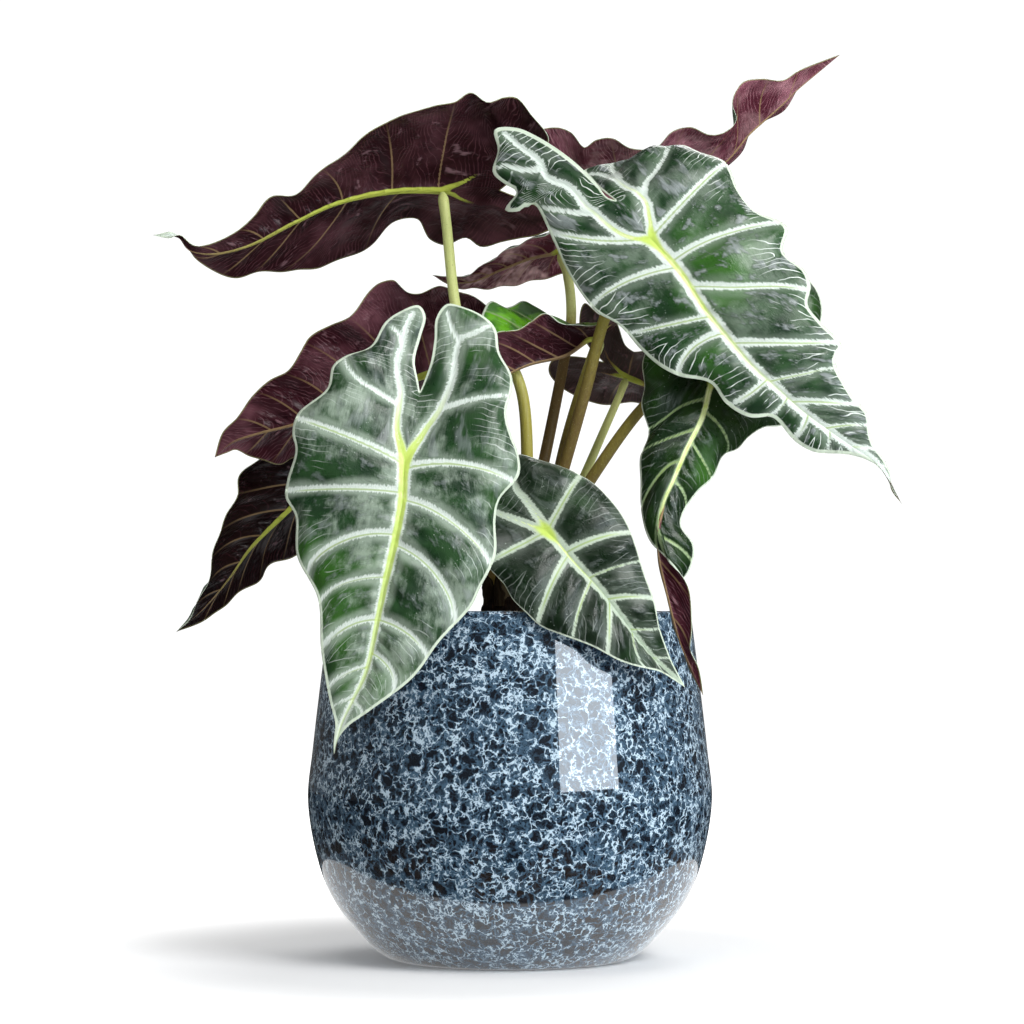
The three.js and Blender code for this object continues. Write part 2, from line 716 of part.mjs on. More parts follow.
// The soil fills the pot to below the rim, rises to the crown and is a little uneven on top
function soil() {
  const side = insidePoints(POT_WALL + GAP, POT_FLOOR + GAP, SOIL_EDGE_HEIGHT);
  const edge = side[side.length - 1];
  const top = [];
  for (let ring = SOIL_RINGS - 1; ring >= 0; ring -= 1) {
    const share = ring / SOIL_RINGS;
    top.push([edge[0] * share, edge[1] + SOIL_MOUND * (1 - share * share)]);
  }
  const geometry = turned([...side, ...top], SOIL_SIDES);
  const place = geometry.attributes.position;
  for (let i = 0; i < place.count; i += 1) {
    const radius = Math.hypot(place.getX(i), place.getY(i));
    if (place.getZ(i) > edge[1]) {
      const angle = Math.atan2(place.getY(i), place.getX(i));
      const turn = SOIL_WAVES * angle + radius / SOIL_WAVE_TURN;
      const wave = Math.sin(turn) * Math.sin(Math.PI * (radius / edge[0]));
      place.setZ(i, place.getZ(i) + SOIL_WAVE_HEIGHT * wave);
    }
  }
  return toGeometry(toSolid(geometry).subtract(crownSolid(GAP)));
}

function piece(name, geometry, finish) {
  const material = new THREE.MeshStandardMaterial({ ...finish, metalness: 0 });
  const mesh = new THREE.Mesh(geometry, material);
  mesh.name = name;
  return mesh;
}

const group = new THREE.Group();
group.add(piece('pot', pot(), COLOURS.glaze));
group.add(piece('soil', soil(), COLOURS.soil));
group.add(piece('crown', crown(), COLOURS.crown));
for (const [name, leaf] of Object.entries(LEAVES)) {
  group.add(piece(`leafstalk_${name}`, leafstalk(leaf), COLOURS.stalk));
  group.add(piece(`blade_${name}`, thicken(bladeSheet(leaf), BLADE_THICKNESS), COLOURS.green));
}

export default group;
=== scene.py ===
"""Potted Alocasia Polly: eleven arrow-shaped leaves with pale veins, on long leafstalks from one crown,
in potting soil in a round pot with a mottled blue glaze. Each operator makes one kind of piece around
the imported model, in metres, with +Z up and the front of the plant towards -Y."""
import math

import bpy
import numpy as np
from bpy.props import FloatProperty, FloatVectorProperty, IntProperty, PointerProperty
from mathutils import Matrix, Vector


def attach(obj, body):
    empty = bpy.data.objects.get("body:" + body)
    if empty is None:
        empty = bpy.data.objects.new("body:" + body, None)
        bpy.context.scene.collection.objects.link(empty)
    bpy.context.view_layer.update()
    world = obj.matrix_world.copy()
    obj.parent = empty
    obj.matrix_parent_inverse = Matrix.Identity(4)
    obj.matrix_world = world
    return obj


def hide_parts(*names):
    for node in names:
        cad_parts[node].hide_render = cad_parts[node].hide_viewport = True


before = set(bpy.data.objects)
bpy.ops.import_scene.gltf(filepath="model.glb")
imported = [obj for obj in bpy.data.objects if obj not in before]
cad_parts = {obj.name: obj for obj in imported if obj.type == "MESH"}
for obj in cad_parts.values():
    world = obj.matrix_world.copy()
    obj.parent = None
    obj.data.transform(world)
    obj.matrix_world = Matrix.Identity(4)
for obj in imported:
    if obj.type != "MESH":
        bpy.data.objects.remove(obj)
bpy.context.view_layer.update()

bl_info = {
    "name": "Potted Alocasia Polly",
    "version": (1, 0, 0),
    "blender": (4, 5, 0),
    "location": "3D View > Sidebar > Alocasia",
    "description": "Dresses a potted Alocasia Polly: blades, leafstalks, crown, soil, pot and stage",
    "category": "Add Mesh",
}

MM = 0.001

# Pot: the outside as (radius, height) points in millimetres, from the foot to under the lip
POT_OUTSIDE = [
    (72, 0), (84, 9), (103, 32), (113.5, 57), (119.5, 92), (116.5, 125), (112.5, 160), (107.5, 201),
]
POT_WALL = 6
POT_FLOOR = 9
POT_SIDES = 160

# The small bevel at the edge of the pot's foot, as (radius less the foot's, height)
FOOT_BEVEL = [(-1.5, 0), (-0.4, 0.35)]

# Soil, in millimetres, its crumbs as (height, size, seed), and the bark chips on it: half length, and
# width and height as shares of it
SOIL_EDGE_HEIGHT = 182
SOIL_MOUND = 9
SOIL_WAVES = 1.4
SOIL_SIDES = 200
SOIL_CRUMBS = [(1.3, 9, 3), (0.8, 3.6, 4), (0.4, 1.8, 5)]
CHIP_LENGTH = (1.4, 4.2)
CHIP_WIDTH = (0.4, 0.9)
CHIP_HEIGHT = (0.3, 0.6)
CLEARANCE = 0.35

# Crown: its lower end is rounded, given as (share of the radius, height above the bottom)
CROWN_X = 3
CROWN_BOTTOM = 130
CROWN_ROOT = [(0.55, 5), (0.85, 22), (1, 50)]
CROWN_SHOULDER = 207
CROWN_TOP = 213
CROWN_RADIUS = 19.8
CROWN_SIDES = 120

# Dry sheaths round the feet of the stalks: height above the crown, half width as an angle, lean at the
# top, how far each is turned from its stalk's own side, and thickness
SHEATH_TALL = (9, 19)
SHEATH_WIDE = (1.1, 1.7)
SHEATH_LEAN = (0.5, 2.5)
SHEATH_TURN = (-0.9, 0.9)
SHEATH_THICKNESS = 0.35

# Leafstalks stand in two rings of sockets in the crown
INNER_RING = 5.4
OUTER_RING = 14.2
SOCKET_FLOOR = 200
STALK_RINGS = 150
STALK_SIDES = 24

# The share of a blade's rows that belongs to its rear lobes, the waves along a margin, and the rows over
# which a twisted tip turns
LOBE_ROWS = 0.2
RIPPLES = 6
TWIST_ROWS = (0.93, 0.99)

# The eleven leaves, in millimetres. Each has the angle and ring of its socket, the radius of its stalk
# at the foot and at the top, the points of the stalk between socket and blade, the spine from the notch
# between the rear lobes over the stalk's join, its second point, to the tip, both margins from the end
# of the rear lobe to the tip, and the points along each side of the notch. Laterals are given by where
# they stand along the blade at the middle line, halfway and at the margin, and by a share of the usual
# width, and costae, the veins of the rear lobes, with their branches, as (along the blade, out from the
# middle line) shares. lobe_share is the lobe's share of the margin's length, arch the height of the
# cross section over its width, ripple the height of the margin's waves, twist the turn of the tip in
# degrees, tone the stalk's colour at the foot and the top and the shares of its length between which it
# changes, and sink_from the share from which it sinks towards the blade. LOOKS lists the rest.
LEAVES = {
    # Hangs in front of the pot on the left, its green upper side to the front
    "front_left": {
        "angle": 240, "ring": OUTER_RING, "foot": 3.9, "top": 2.7,
        "lobe_share": 0.24, "arch": 0.07, "ripple": 1.2,
        "painted_sheen": 0.9, "threads": 0.4, "heart": 3.1, "heart_reach": 240, "rim": 1.5, "rib_scale": 1.15,
        "sink_from": 0.75, "tone": (0.45, 0.9, 0.3, 0.8),
        "stalk": [
            (8, -22, 257), (10, -26, 295), (7, -26, 332), (0, -25, 349), (-11, -27, 359),
            (-23, -36, 359), (-37, -58, 349), (-48, -80, 329), (-55, -92, 304),
        ],
        "spine": [
            (-51, -88, 328), (-59, -105, 287), (-60, -109, 266), (-64, -111, 243), (-69, -112, 221),
            (-73, -112, 202), (-80, -112, 170), (-88, -112, 153), (-94, -111, 140), (-98, -110, 124),
        ],
        "left": [
            (-52, -78, 378), (-63, -80, 374), (-71, -82, 368), (-79, -87, 354), (-93, -92, 348),
            (-100, -95, 342), (-103, -98, 329), (-119, -102, 315), (-122, -103, 304), (-120, -104, 294),
            (-125, -103, 277), (-126, -103, 268), (-120, -104, 257), (-119, -107, 235),
            (-107, -111, 211), (-105, -113, 182), (-100, -112, 153), (-97, -112, 141), (-98, -111, 132),
            (-98, -110, 124),
        ],
        "right": [
            (-36, -75, 379), (-26, -76, 377), (-14, -78, 371), (-8, -80, 364), (-6, -84, 351),
            (1, -89, 337), (1, -93, 327), (-2, -97, 316), (0, -99, 305), (5, -100, 291), (5, -101, 280),
            (-6, -104, 266), (-8, -106, 255), (-8, -110, 235), (-17, -112, 216), (-22, -113, 206),
            (-39, -114, 187), (-54, -114, 167), (-80, -113, 147), (-90, -112, 140), (-96, -111, 132),
            (-98, -110, 124),
        ],
        "left_notch": [(-48, -79, 372), (-51, -81, 359), (-54, -84, 346), (-52, -87, 334)],
        "right_notch": [(-42, -77, 371), (-43, -80, 358), (-45, -84, 345), (-49, -87, 333)],
        "left_laterals": [
            (0.37, 0.335, 0.31), (0.43, 0.44, 0.46), (0.52, 0.55, 0.64), (0.61, 0.64, 0.7, 0.6),
            (0.7, 0.73, 0.79), (0.8, 0.83, 0.87, 0.5), (0.87, 0.89, 0.91, 0.4),
        ],
        "right_laterals": [
            (0.38, 0.355, 0.37), (0.445, 0.47, 0.54), (0.54, 0.58, 0.67), (0.7, 0.71, 0.745, 0.9),
            (0.77, 0.79, 0.84, 0.8), (0.88, 0.89, 0.91, 0.5),
        ],
        "left_costa": [
            [(0.36, 0.02), (0.29, 0.13), (0.2, 0.22), (0.1, 0.36), (0.03, 0.52)],
            [(0.24, 0.18), (0.22, 0.45), (0.2, 0.69), (0.16, 0.97)],
            [(0.1, 0.36), (0.08, 0.52), (0.07, 0.75)],
        ],
        "right_costa": [
            [(0.36, 0.02), (0.29, 0.14), (0.22, 0.3), (0.13, 0.35), (0.1, 0.41), (0.09, 0.64), (0.08, 0.92)],
            [(0.24, 0.27), (0.22, 0.57), (0.2, 0.98)],
            [(0.1, 0.41), (0.07, 0.33), (0.03, 0.36)],
        ],
    },
    # The largest, high on the right, its green upper side to the front
    "right_high": {
        "angle": 307, "ring": INNER_RING, "foot": 3.9, "top": 3.2,
        "lobe_share": 0.27, "arch": 0.07, "ripple": 1.2, "twist": -110,
        "painted_sheen": 0.4, "threads": 1, "heart": 2, "heart_reach": 170, "rim": 2.1, "shine": 1,
        "vein_scale": 1.1, "rib_scale": 1.1, "tone": (0.15, 0.65, 0.5, 1),
        "stalk": [(21, -12, 252), (32, -20, 290), (44, -33, 332), (55, -46, 374), (67, -53, 401)],
        "spine": [
            (61, -57, 441), (82, -62, 417), (98, -68, 398), (111, -73, 377), (124, -77, 360),
            (138, -81, 343), (152, -83, 330), (165, -85, 318), (178, -87, 308), (192, -88, 298),
            (206, -87, 289), (215, -84, 278), (223, -78, 265),
        ],
        "left": [
            (-9, -38, 485), (-7, -38, 473), (-10, -38, 460), (-3, -40, 453), (4, -42, 448),
            (-3, -38, 438), (5, -42, 437), (13, -44, 441), (25, -50, 419), (33, -54, 401),
            (42, -57, 386), (50, -60, 376), (63, -63, 368), (75, -66, 354), (86, -69, 344),
            (97, -72, 338), (114, -76, 334), (123, -79, 322), (136, -82, 314), (149, -82, 314),
            (162, -84, 300), (173, -85, 294), (190, -86, 293), (202, -86, 290), (212, -84, 283),
            (223, -78, 265),
        ],
        "right": [
            (44, -12, 465), (56, -10, 468), (69, -10, 470), (86, -16, 469), (92, -22, 475),
            (100, -28, 478), (111, -36, 472), (126, -44, 464), (132, -51, 449), (143, -57, 434),
            (156, -60, 428), (160, -62, 424), (157, -66, 411), (169, -69, 399), (172, -72, 389),
            (170, -74, 379), (177, -77, 369), (189, -79, 355), (185, -81, 346), (194, -83, 327),
            (203, -84, 316), (205, -85, 301), (214, -83, 287), (223, -78, 265),
        ],
        "left_notch": [(3, -40, 486), (18, -44, 479), (38, -50, 464), (51, -54, 450), (56, -56, 443)],
        "right_notch": [(47, -28, 457), (53, -44, 449)],
        "left_laterals": [
            (0.3, 0.25, 0.19), (0.375, 0.345, 0.34), (0.49, 0.455, 0.42, 0.7), (0.53, 0.515, 0.535),
            (0.65, 0.65, 0.64, 0.85), (0.7, 0.71, 0.71, 0.45), (0.75, 0.765, 0.77, 0.9),
            (0.8, 0.82, 0.83, 0.4), (0.85, 0.865, 0.87, 0.5), (0.9, 0.91, 0.92, 0.5),
        ],
        "right_laterals": [
            (0.3, 0.26, 0.22), (0.36, 0.36, 0.39), (0.42, 0.485, 0.55), (0.555, 0.615, 0.67),
            (0.655, 0.69, 0.72, 0.45), (0.71, 0.76, 0.8, 0.85), (0.79, 0.82, 0.845, 0.5),
            (0.85, 0.875, 0.89, 0.5), (0.91, 0.92, 0.93, 0.4),
        ],
        "left_costa": [
            [(0.3, 0.03), (0.26, 0.23), (0.19, 0.34), (0.1, 0.36), (0.06, 0.32), (0.02, 0.36)],
            [(0.1, 0.36), (0.08, 0.62), (0.06, 0.72), (0.05, 0.93)],
            [(0.2, 0.36), (0.18, 0.66), (0.16, 0.99)],
        ],
        "right_costa": [
            [(0.3, 0.02), (0.26, 0.13), (0.22, 0.2), (0.17, 0.18), (0.08, 0.24), (0.04, 0.13)],
            [(0.22, 0.2), (0.2, 0.29), (0.18, 0.5), (0.14, 0.88)],
            [(0.16, 0.18), (0.08, 0.42), (0.04, 0.88)],
        ],
    },
    # Small and low, leaning over the rim in front
    "front_centre": {
        "angle": 285, "ring": OUTER_RING, "foot": 3.4, "top": 2.3,
        "lobe_share": 0.22, "arch": 0.08, "ripple": 1,
        "painted_sheen": 0.2, "threads": 0.2, "heart": 0.8, "heart_reach": 60, "rim": 0.8, "deep_shade": 1,
        "dull": 0.4, "shine": 0.2,
        "stalk": [(14, -40, 234), (17, -62, 256), (20, -84, 260)],
        "spine": [
            (-7, -90, 266), (21, -100, 248), (36, -103, 231), (50, -104, 216), (64, -103, 198),
            (79, -98, 179), (99, -88, 161),
        ],
        "left": [
            (-22, -92, 264), (-25, -96, 252), (-20, -101, 239), (-11, -106, 227), (-3, -108, 219),
            (2, -110, 210), (9, -112, 203), (17, -113, 196), (30, -114, 190), (45, -114, 185),
            (59, -111, 177), (76, -105, 172), (86, -98, 169), (99, -88, 161),
        ],
        "right": [
            (-6, -76, 285), (0, -75, 292), (6, -76, 293), (17, -78, 290), (28, -82, 286), (45, -88, 278),
            (55, -92, 268), (65, -96, 255), (71, -98, 239), (76, -98, 224), (81, -98, 209),
            (85, -96, 192), (90, -93, 178), (99, -88, 161),
        ],
        "left_notch": [(-15, -91, 267)],
        "right_notch": [(-10, -82, 278)],
        "left_laterals": [
            (0.38, 0.29, 0.2), (0.47, 0.45, 0.45), (0.57, 0.56, 0.57, 0.5), (0.65, 0.67, 0.69, 0.8),
            (0.76, 0.78, 0.83, 0.35), (0.86, 0.88, 0.91, 0.3),
        ],
        "right_laterals": [
            (0.38, 0.32, 0.26), (0.46, 0.47, 0.5), (0.56, 0.57, 0.59, 0.35), (0.64, 0.67, 0.71, 0.8),
            (0.75, 0.78, 0.8, 0.35), (0.86, 0.88, 0.9, 0.3),
        ],
        "left_costa": [
            [(0.36, 0.02), (0.29, 0.09), (0.21, 0.17), (0.1, 0.26)],
        ],
        "right_costa": [
            [(0.36, 0.04), (0.29, 0.16), (0.19, 0.31), (0.1, 0.39)],
        ],
    },
    # Hangs on the right behind the large one, its end twisted over
    "right_low": {
        "angle": 330, "ring": OUTER_RING, "foot": 3.8, "top": 3,
        "lobe_share": 0.27, "arch": 0.06, "ripple": 1,
        "painted_sheen": 0, "threads": 0.15, "heart": 1.6, "heart_reach": 400, "rim": 0.9, "deep_shade": 1,
        "dull": 0.9, "young": 0.05, "shine": 0.1, "blush": 0.6, "vein_scale": 0.45,
        "tone": (0.15, 0.4, 0.2, 1),
        "stalk": [(27, -18, 246), (48, -26, 282), (79, -38, 324), (99, -42, 339)],
        "spine": [
            (133, -36, 359), (119, -48, 339), (116, -51, 334), (111, -58, 316), (101, -64, 296),
            (94, -68, 280), (87, -71, 264), (84, -75, 242), (89, -79, 215), (97, -80, 186),
            (110, -76, 156),
        ],
        "left": [
            (111, -30, 376), (95, -34, 368), (81, -40, 358), (77, -43, 348), (78, -47, 334),
            (76, -50, 323), (80, -54, 307), (75, -58, 292), (75, -61, 279), (75, -65, 263),
            (80, -72, 244), (90, -83, 232), (101, -87, 216), (103, -86, 195), (102, -84, 182),
            (107, -80, 172), (110, -76, 156),
        ],
        "right": [
            (167, -2, 407), (180, -4, 398), (185, -8, 384), (182, -12, 367), (176, -18, 343),
            (168, -24, 325), (160, -30, 313), (148, -36, 311), (138, -41, 305), (132, -45, 298),
            (124, -50, 294), (117, -56, 281), (107, -61, 272), (98, -67, 254), (105, -69, 241),
            (102, -68, 227), (93, -70, 215), (92, -73, 198), (98, -75, 182), (103, -76, 169),
            (110, -76, 156),
        ],
        "left_notch": [(120, -32, 369)],
        "right_notch": [(153, -14, 394), (141, -28, 375)],
        "left_laterals": [
            (0.35, 0.31, 0.28), (0.42, 0.38, 0.34), (0.5, 0.46, 0.48), (0.6, 0.62, 0.64),
            (0.71, 0.73, 0.76), (0.83, 0.85, 0.88),
        ],
        "right_laterals": [
            (0.31, 0.29, 0.29), (0.38, 0.4, 0.44), (0.45, 0.48, 0.51), (0.54, 0.56, 0.59),
            (0.66, 0.68, 0.71), (0.77, 0.8, 0.83),
        ],
        "left_costa": [
            [(0.29, 0.03), (0.23, 0.2), (0.17, 0.37), (0.1, 0.43)],
        ],
        "right_costa": [
            [(0.29, 0.01), (0.18, 0.12), (0.08, 0.4)],
        ],
    },
    # High on the left, tip to the left, seen from its dark underside
    "left_high": {
        "angle": 195, "ring": OUTER_RING, "foot": 3.9, "top": 2.9,
        "lobe_share": 0.25, "arch": 0.05, "ripple": 1.6,
        "blush": 0.2, "rib_reach": 110, "twist": -140, "tone": (0.2, 1.1, 0.3, 0.65),
        "stalk": [(-9, -8, 258), (-21, -4, 329), (-33, 0, 389), (-38, 8, 435)],
        "spine": [
            (-6, 22, 458), (-41, 15, 458), (-71, 10, 456), (-104, 6, 448), (-127, 4, 437),
            (-156, 2, 422), (-177, 0, 417), (-191, -2, 419), (-197, -6, 426), (-212, -8, 427),
        ],
        "left": [
            (31, 52, 443), (18, 55, 435), (6, 57, 433), (-6, 58, 431), (-18, 56, 428), (-27, 55, 433),
            (-39, 56, 428), (-49, 54, 432), (-56, 46, 444), (-69, 50, 442), (-85, 54, 430),
            (-99, 50, 421), (-115, 42, 413), (-129, 34, 412), (-139, 30, 409), (-152, 24, 408),
            (-165, 20, 405), (-178, 12, 408), (-188, 4, 414), (-196, -2, 425), (-212, -8, 427),
        ],
        "right": [
            (23, -12, 483), (12, -22, 497), (4, -26, 506), (-4, -28, 506), (-13, -29, 503),
            (-23, -31, 508), (-32, -32, 502), (-46, -33, 500), (-60, -33, 496), (-73, -32, 489),
            (-88, -29, 482), (-102, -24, 469), (-117, -19, 459), (-128, -14, 451), (-141, -13, 449),
            (-152, -9, 438), (-169, -6, 426), (-181, -5, 421), (-188, -6, 421), (-197, -9, 428),
            (-212, -8, 427),
        ],
        "left_notch": [(15, 42, 452)],
        "right_notch": [(12, 2, 470)],
        "left_laterals": [
            (0.42, 0.44, 0.46), (0.54, 0.58, 0.67), (0.65, 0.69, 0.73), (0.74, 0.78, 0.81),
            (0.84, 0.87, 0.9),
        ],
        "right_laterals": [
            (0.34, 0.28, 0.21), (0.44, 0.4, 0.37), (0.55, 0.54, 0.55), (0.65, 0.66, 0.67),
            (0.74, 0.76, 0.79), (0.84, 0.86, 0.89),
        ],
        "left_costa": [
            [(0.31, 0.03), (0.25, 0.21), (0.16, 0.29), (0.07, 0.28)],
            [(0.25, 0.23), (0.23, 0.47), (0.2, 0.92)],
        ],
        "right_costa": [
            [(0.32, 0.03), (0.24, 0.18), (0.19, 0.31), (0.12, 0.57), (0.09, 0.85)],
            [(0.24, 0.18), (0.18, 0.44), (0.12, 0.68), (0.1, 0.95)],
        ],
    },
    # High at the back, tip up to the right, seen along its dark underside
    "right_back": {
        "angle": 60, "ring": OUTER_RING, "foot": 3.8, "top": 2.8,
        "lobe_share": 0.12, "arch": 0.02, "ripple": 0.3,
        "blush": 1, "rib_reach": 15, "quilt": 0.3, "rim": 0, "gleam": 0.2,
        "stalk": [
            (23, 18, 259), (34, 32, 307), (47, 44, 350), (59, 54, 382), (70, 62, 405), (72, 68, 435),
        ],
        "spine": [
            (40, 66, 463), (56, 68, 458), (93, 70, 466), (118, 71, 475), (133, 72, 483), (148, 73, 500),
            (158, 74, 509), (168, 74, 518), (178, 74, 528), (205, 74, 550),
        ],
        "left": [
            (16, 28, 494), (28, 28, 497), (37, 28, 494), (45, 30, 485), (52, 26, 489), (62, 24, 490),
            (73, 26, 484), (88, 26, 484), (98, 24, 494), (109, 26, 497), (121, 32, 493), (130, 36, 495),
            (138, 42, 504), (136, 44, 515), (143, 48, 528), (155, 52, 531), (168, 58, 531),
            (180, 66, 539), (205, 74, 550),
        ],
        "right": [
            (24, 106, 454), (44, 112, 450), (70, 118, 451), (95, 120, 458), (117, 118, 468),
            (138, 112, 486), (147, 108, 495), (152, 104, 506), (160, 98, 512), (172, 90, 518),
            (183, 80, 534), (205, 74, 550),
        ],
        "left_notch": [(23, 38, 485), (31, 52, 473)],
        "right_notch": [(31, 88, 456)],
    },
    # Small, at the back, tip to the left
    "back_small": {
        "angle": 187, "ring": INNER_RING, "foot": 3.8, "top": 2.9,
        "lobe_share": 0.25, "arch": 0.1, "ripple": 0.8,
        "blush": 1, "rib_reach": 4, "gleam": 1, "tone": (0.05, 1, 0.68, 0.86),
        "stalk": [(12, 2, 258), (21, 8, 297), (32, 22, 352), (37, 32, 380), (35, 44, 409)],
        "spine": [
            (46, 54, 437), (29, 50, 426), (12, 48, 421), (-6, 45, 413), (-24, 41, 405), (-38, 38, 405),
            (-47, 34, 408),
        ],
        "left": [
            (60, 80, 429), (51, 82, 421), (34, 81, 414), (19, 78, 410), (-6, 68, 404), (-22, 58, 402),
            (-35, 46, 402), (-47, 34, 408),
        ],
        "right": [
            (54, 24, 449), (39, 24, 442), (23, 24, 432), (6, 25, 426), (-12, 27, 416), (-27, 30, 407),
            (-39, 33, 407), (-47, 34, 408),
        ],
        "left_notch": [(54, 68, 433)],
        "right_notch": [(52, 38, 443)],
    },
    # Small, in the middle, folded along its middle line
    "centre_folded": {
        "angle": 67, "ring": INNER_RING, "foot": 3.3, "top": 2.3,
        "lobe_share": 0.22, "arch": 0.04, "ripple": 0.8,
        "blush": 0.3, "rib_reach": 12, "young": 1, "heart_reach": 300, "threads": 0, "heart": 0.8,
        "painted_sheen": 0, "shine": 0.1, "vein_scale": 0.35, "quilt": 0.4, "tone": (0.6, 1, 0.3, 0.9),
        "stalk": [(21, 4, 252), (35, 2, 300), (46, -4, 341)],
        "spine": [
            (62, -6, 373), (53, -10, 367), (46, -14, 365), (33, -22, 355), (11, -34, 348),
            (-1, -41, 342), (-14, -50, 334), (-26, -58, 324),
        ],
        "left": [
            (72, 8, 382), (61, 4, 379), (48, 0, 374), (34, -5, 369), (25, -6, 371), (16, -5, 381),
            (8, -6, 388), (1, -8, 385), (-4, -11, 384), (-12, -18, 386), (-16, -26, 379), (-21, -44, 356),
            (-26, -58, 324),
        ],
        "right": [
            (69, -36, 376), (60, -38, 374), (47, -40, 370), (38, -42, 370), (29, -44, 372),
            (20, -46, 376), (12, -50, 372), (5, -54, 366), (-7, -58, 365), (-16, -60, 354),
            (-26, -58, 324),
        ],
        "left_notch": [(68, 2, 378)],
        "right_notch": [(66, -20, 375)],
    },
    # Small, behind on the right, tip to the right
    "right_behind": {
        "angle": 15, "ring": OUTER_RING, "foot": 3.3, "top": 2.2,
        "lobe_share": 0.25, "arch": 0.1, "ripple": 1,
        "blush": 0.3, "rib_reach": 10, "grey": 0.8, "tone": (1, 1.4, 0.2, 0.8),
        "stalk": [(30, 12, 252), (45, 20, 286), (59, 31, 318)],
        "spine": [
            (57, 46, 356), (72, 42, 347), (91, 37, 339), (109, 31, 332), (127, 25, 325), (145, 18, 322),
        ],
        "left": [
            (45, 26, 390), (54, 26, 383), (64, 26, 379), (69, 27, 365), (75, 24, 361), (81, 18, 360),
            (102, 10, 355), (122, 6, 347), (137, 8, 335), (145, 18, 322),
        ],
        "right": [
            (25, 74, 358), (24, 76, 352), (29, 78, 345), (40, 78, 338), (55, 78, 332), (69, 76, 333),
            (84, 72, 331), (105, 62, 323), (125, 44, 315), (139, 28, 316), (145, 18, 322),
        ],
        "left_notch": [(42, 31, 379), (47, 38, 366)],
        "right_notch": [(32, 68, 361), (44, 58, 360)],
    },
    # On the left behind the front one, tip to the left, dark underside to the front
    "left_middle": {
        "angle": 150, "ring": OUTER_RING, "foot": 3.8, "top": 2.6,
        "lobe_share": 0.2, "arch": 0.05, "ripple": 1.4,
        "blush": 0.45, "rib_reach": 25,
        "stalk": [(-8, 16, 259), (-21, 28, 301), (-33, 42, 335)],
        "spine": [
            (-23, 54, 363), (-38, 48, 354), (-52, 44, 348), (-79, 40, 338), (-103, 38, 328),
            (-132, 36, 317), (-152, 35, 312), (-167, 34, 307), (-174, 33, 302), (-179, 33, 297),
        ],
        "left": [
            (-9, 80, 340), (-25, 84, 329), (-44, 86, 318), (-65, 86, 309), (-87, 84, 304),
            (-112, 78, 300), (-127, 70, 300), (-134, 62, 297), (-141, 57, 294), (-150, 50, 296),
            (-159, 45, 298), (-167, 39, 302), (-172, 36, 300), (-179, 33, 297),
        ],
        "right": [
            (-11, 14, 383), (-21, 12, 392), (-32, 12, 396), (-42, 12, 399), (-54, 14, 394),
            (-61, 14, 395), (-69, 14, 403), (-78, 14, 401), (-84, 15, 396), (-96, 18, 382),
            (-108, 21, 376), (-121, 23, 369), (-127, 25, 360), (-134, 26, 349), (-146, 28, 343),
            (-156, 29, 334), (-165, 30, 321), (-174, 31, 312), (-179, 33, 297),
        ],
        "left_notch": [(-15, 68, 352)],
        "right_notch": [(-15, 34, 371)],
    },
    # Low at the back on the left, tip down to the left
    "left_low": {
        "angle": 105, "ring": OUTER_RING, "foot": 3.8, "top": 2.7,
        "lobe_share": 0.25, "arch": 0.1, "ripple": 1.4,
        "blush": 0, "rib_reach": 85,
        "stalk": [(-12, 30, 247), (-29, 56, 278), (-53, 80, 296), (-78, 96, 304), (-99, 103, 302)],
        "spine": [
            (-93, 104, 317), (-110, 102, 299), (-137, 96, 269), (-162, 88, 243), (-175, 82, 224),
            (-189, 76, 207), (-206, 68, 191),
        ],
        "left": [
            (-71, 138, 293), (-84, 144, 272), (-103, 144, 255), (-122, 138, 244), (-138, 130, 239),
            (-150, 122, 234), (-157, 114, 225), (-166, 104, 218), (-173, 96, 212), (-182, 86, 204),
            (-189, 79, 198), (-206, 68, 191),
        ],
        "right": [
            (-102, 76, 336), (-118, 74, 327), (-130, 74, 317), (-146, 74, 306), (-158, 72, 296),
            (-167, 68, 287), (-169, 64, 274), (-174, 60, 262), (-181, 57, 246), (-183, 57, 229),
            (-191, 60, 211), (-197, 64, 199), (-206, 68, 191),
        ],
        "left_notch": [(-81, 122, 305)],
        "right_notch": [(-98, 92, 327)],
    },
}

# Vein pattern of the leaves that show only their underside or are mostly hidden
PLAIN_LATERALS = {
    "left": [
        (0.35, 0.31, 0.29), (0.43, 0.45, 0.48), (0.53, 0.56, 0.61), (0.63, 0.67, 0.71),
        (0.73, 0.76, 0.8), (0.83, 0.86, 0.89),
    ],
    "right": [
        (0.34, 0.3, 0.27), (0.41, 0.43, 0.46), (0.51, 0.55, 0.6), (0.62, 0.65, 0.7),
        (0.72, 0.75, 0.79), (0.82, 0.85, 0.88),
    ],
}
PLAIN_COSTA = [
    [(0.31, 0.03), (0.24, 0.17), (0.16, 0.3), (0.07, 0.4)],
    [(0.23, 0.19), (0.21, 0.5), (0.18, 0.95)],
]

# Half widths of the pale veins on the upper side in millimetres, where they start and where they end
MIDRIB_WIDTH = (4.0, 1.5)
COSTA_WIDTH = (3.3, 1.5)
BRANCH_WIDTH = (1.9, 1.0)
LATERAL_WIDTH = (2.5, 1.5)

# How far from the join the yellow-green heart of the veins reaches in millimetres, along the midrib and
# along the veins of the rear lobes
HEART_REACH = 120
COSTA_HEART_REACH = 60

# Relief of a blade, in millimetres: how far from a vein its panels are fully raised, how far from the
# margin and from the join the relief fades, lumps as (height, size), the place of the blisters as a share
# of the way out, and the half width and depth of the groove over a vein
PANEL_RISE = 6.5
MARGIN_CALM = 9
JOIN_CALM = (10, 45)
LUMPS = (0.9, 14)
BLISTER_PLACE = 0.16
VEIN_LINE = 0.9
GROOVE = 0.35
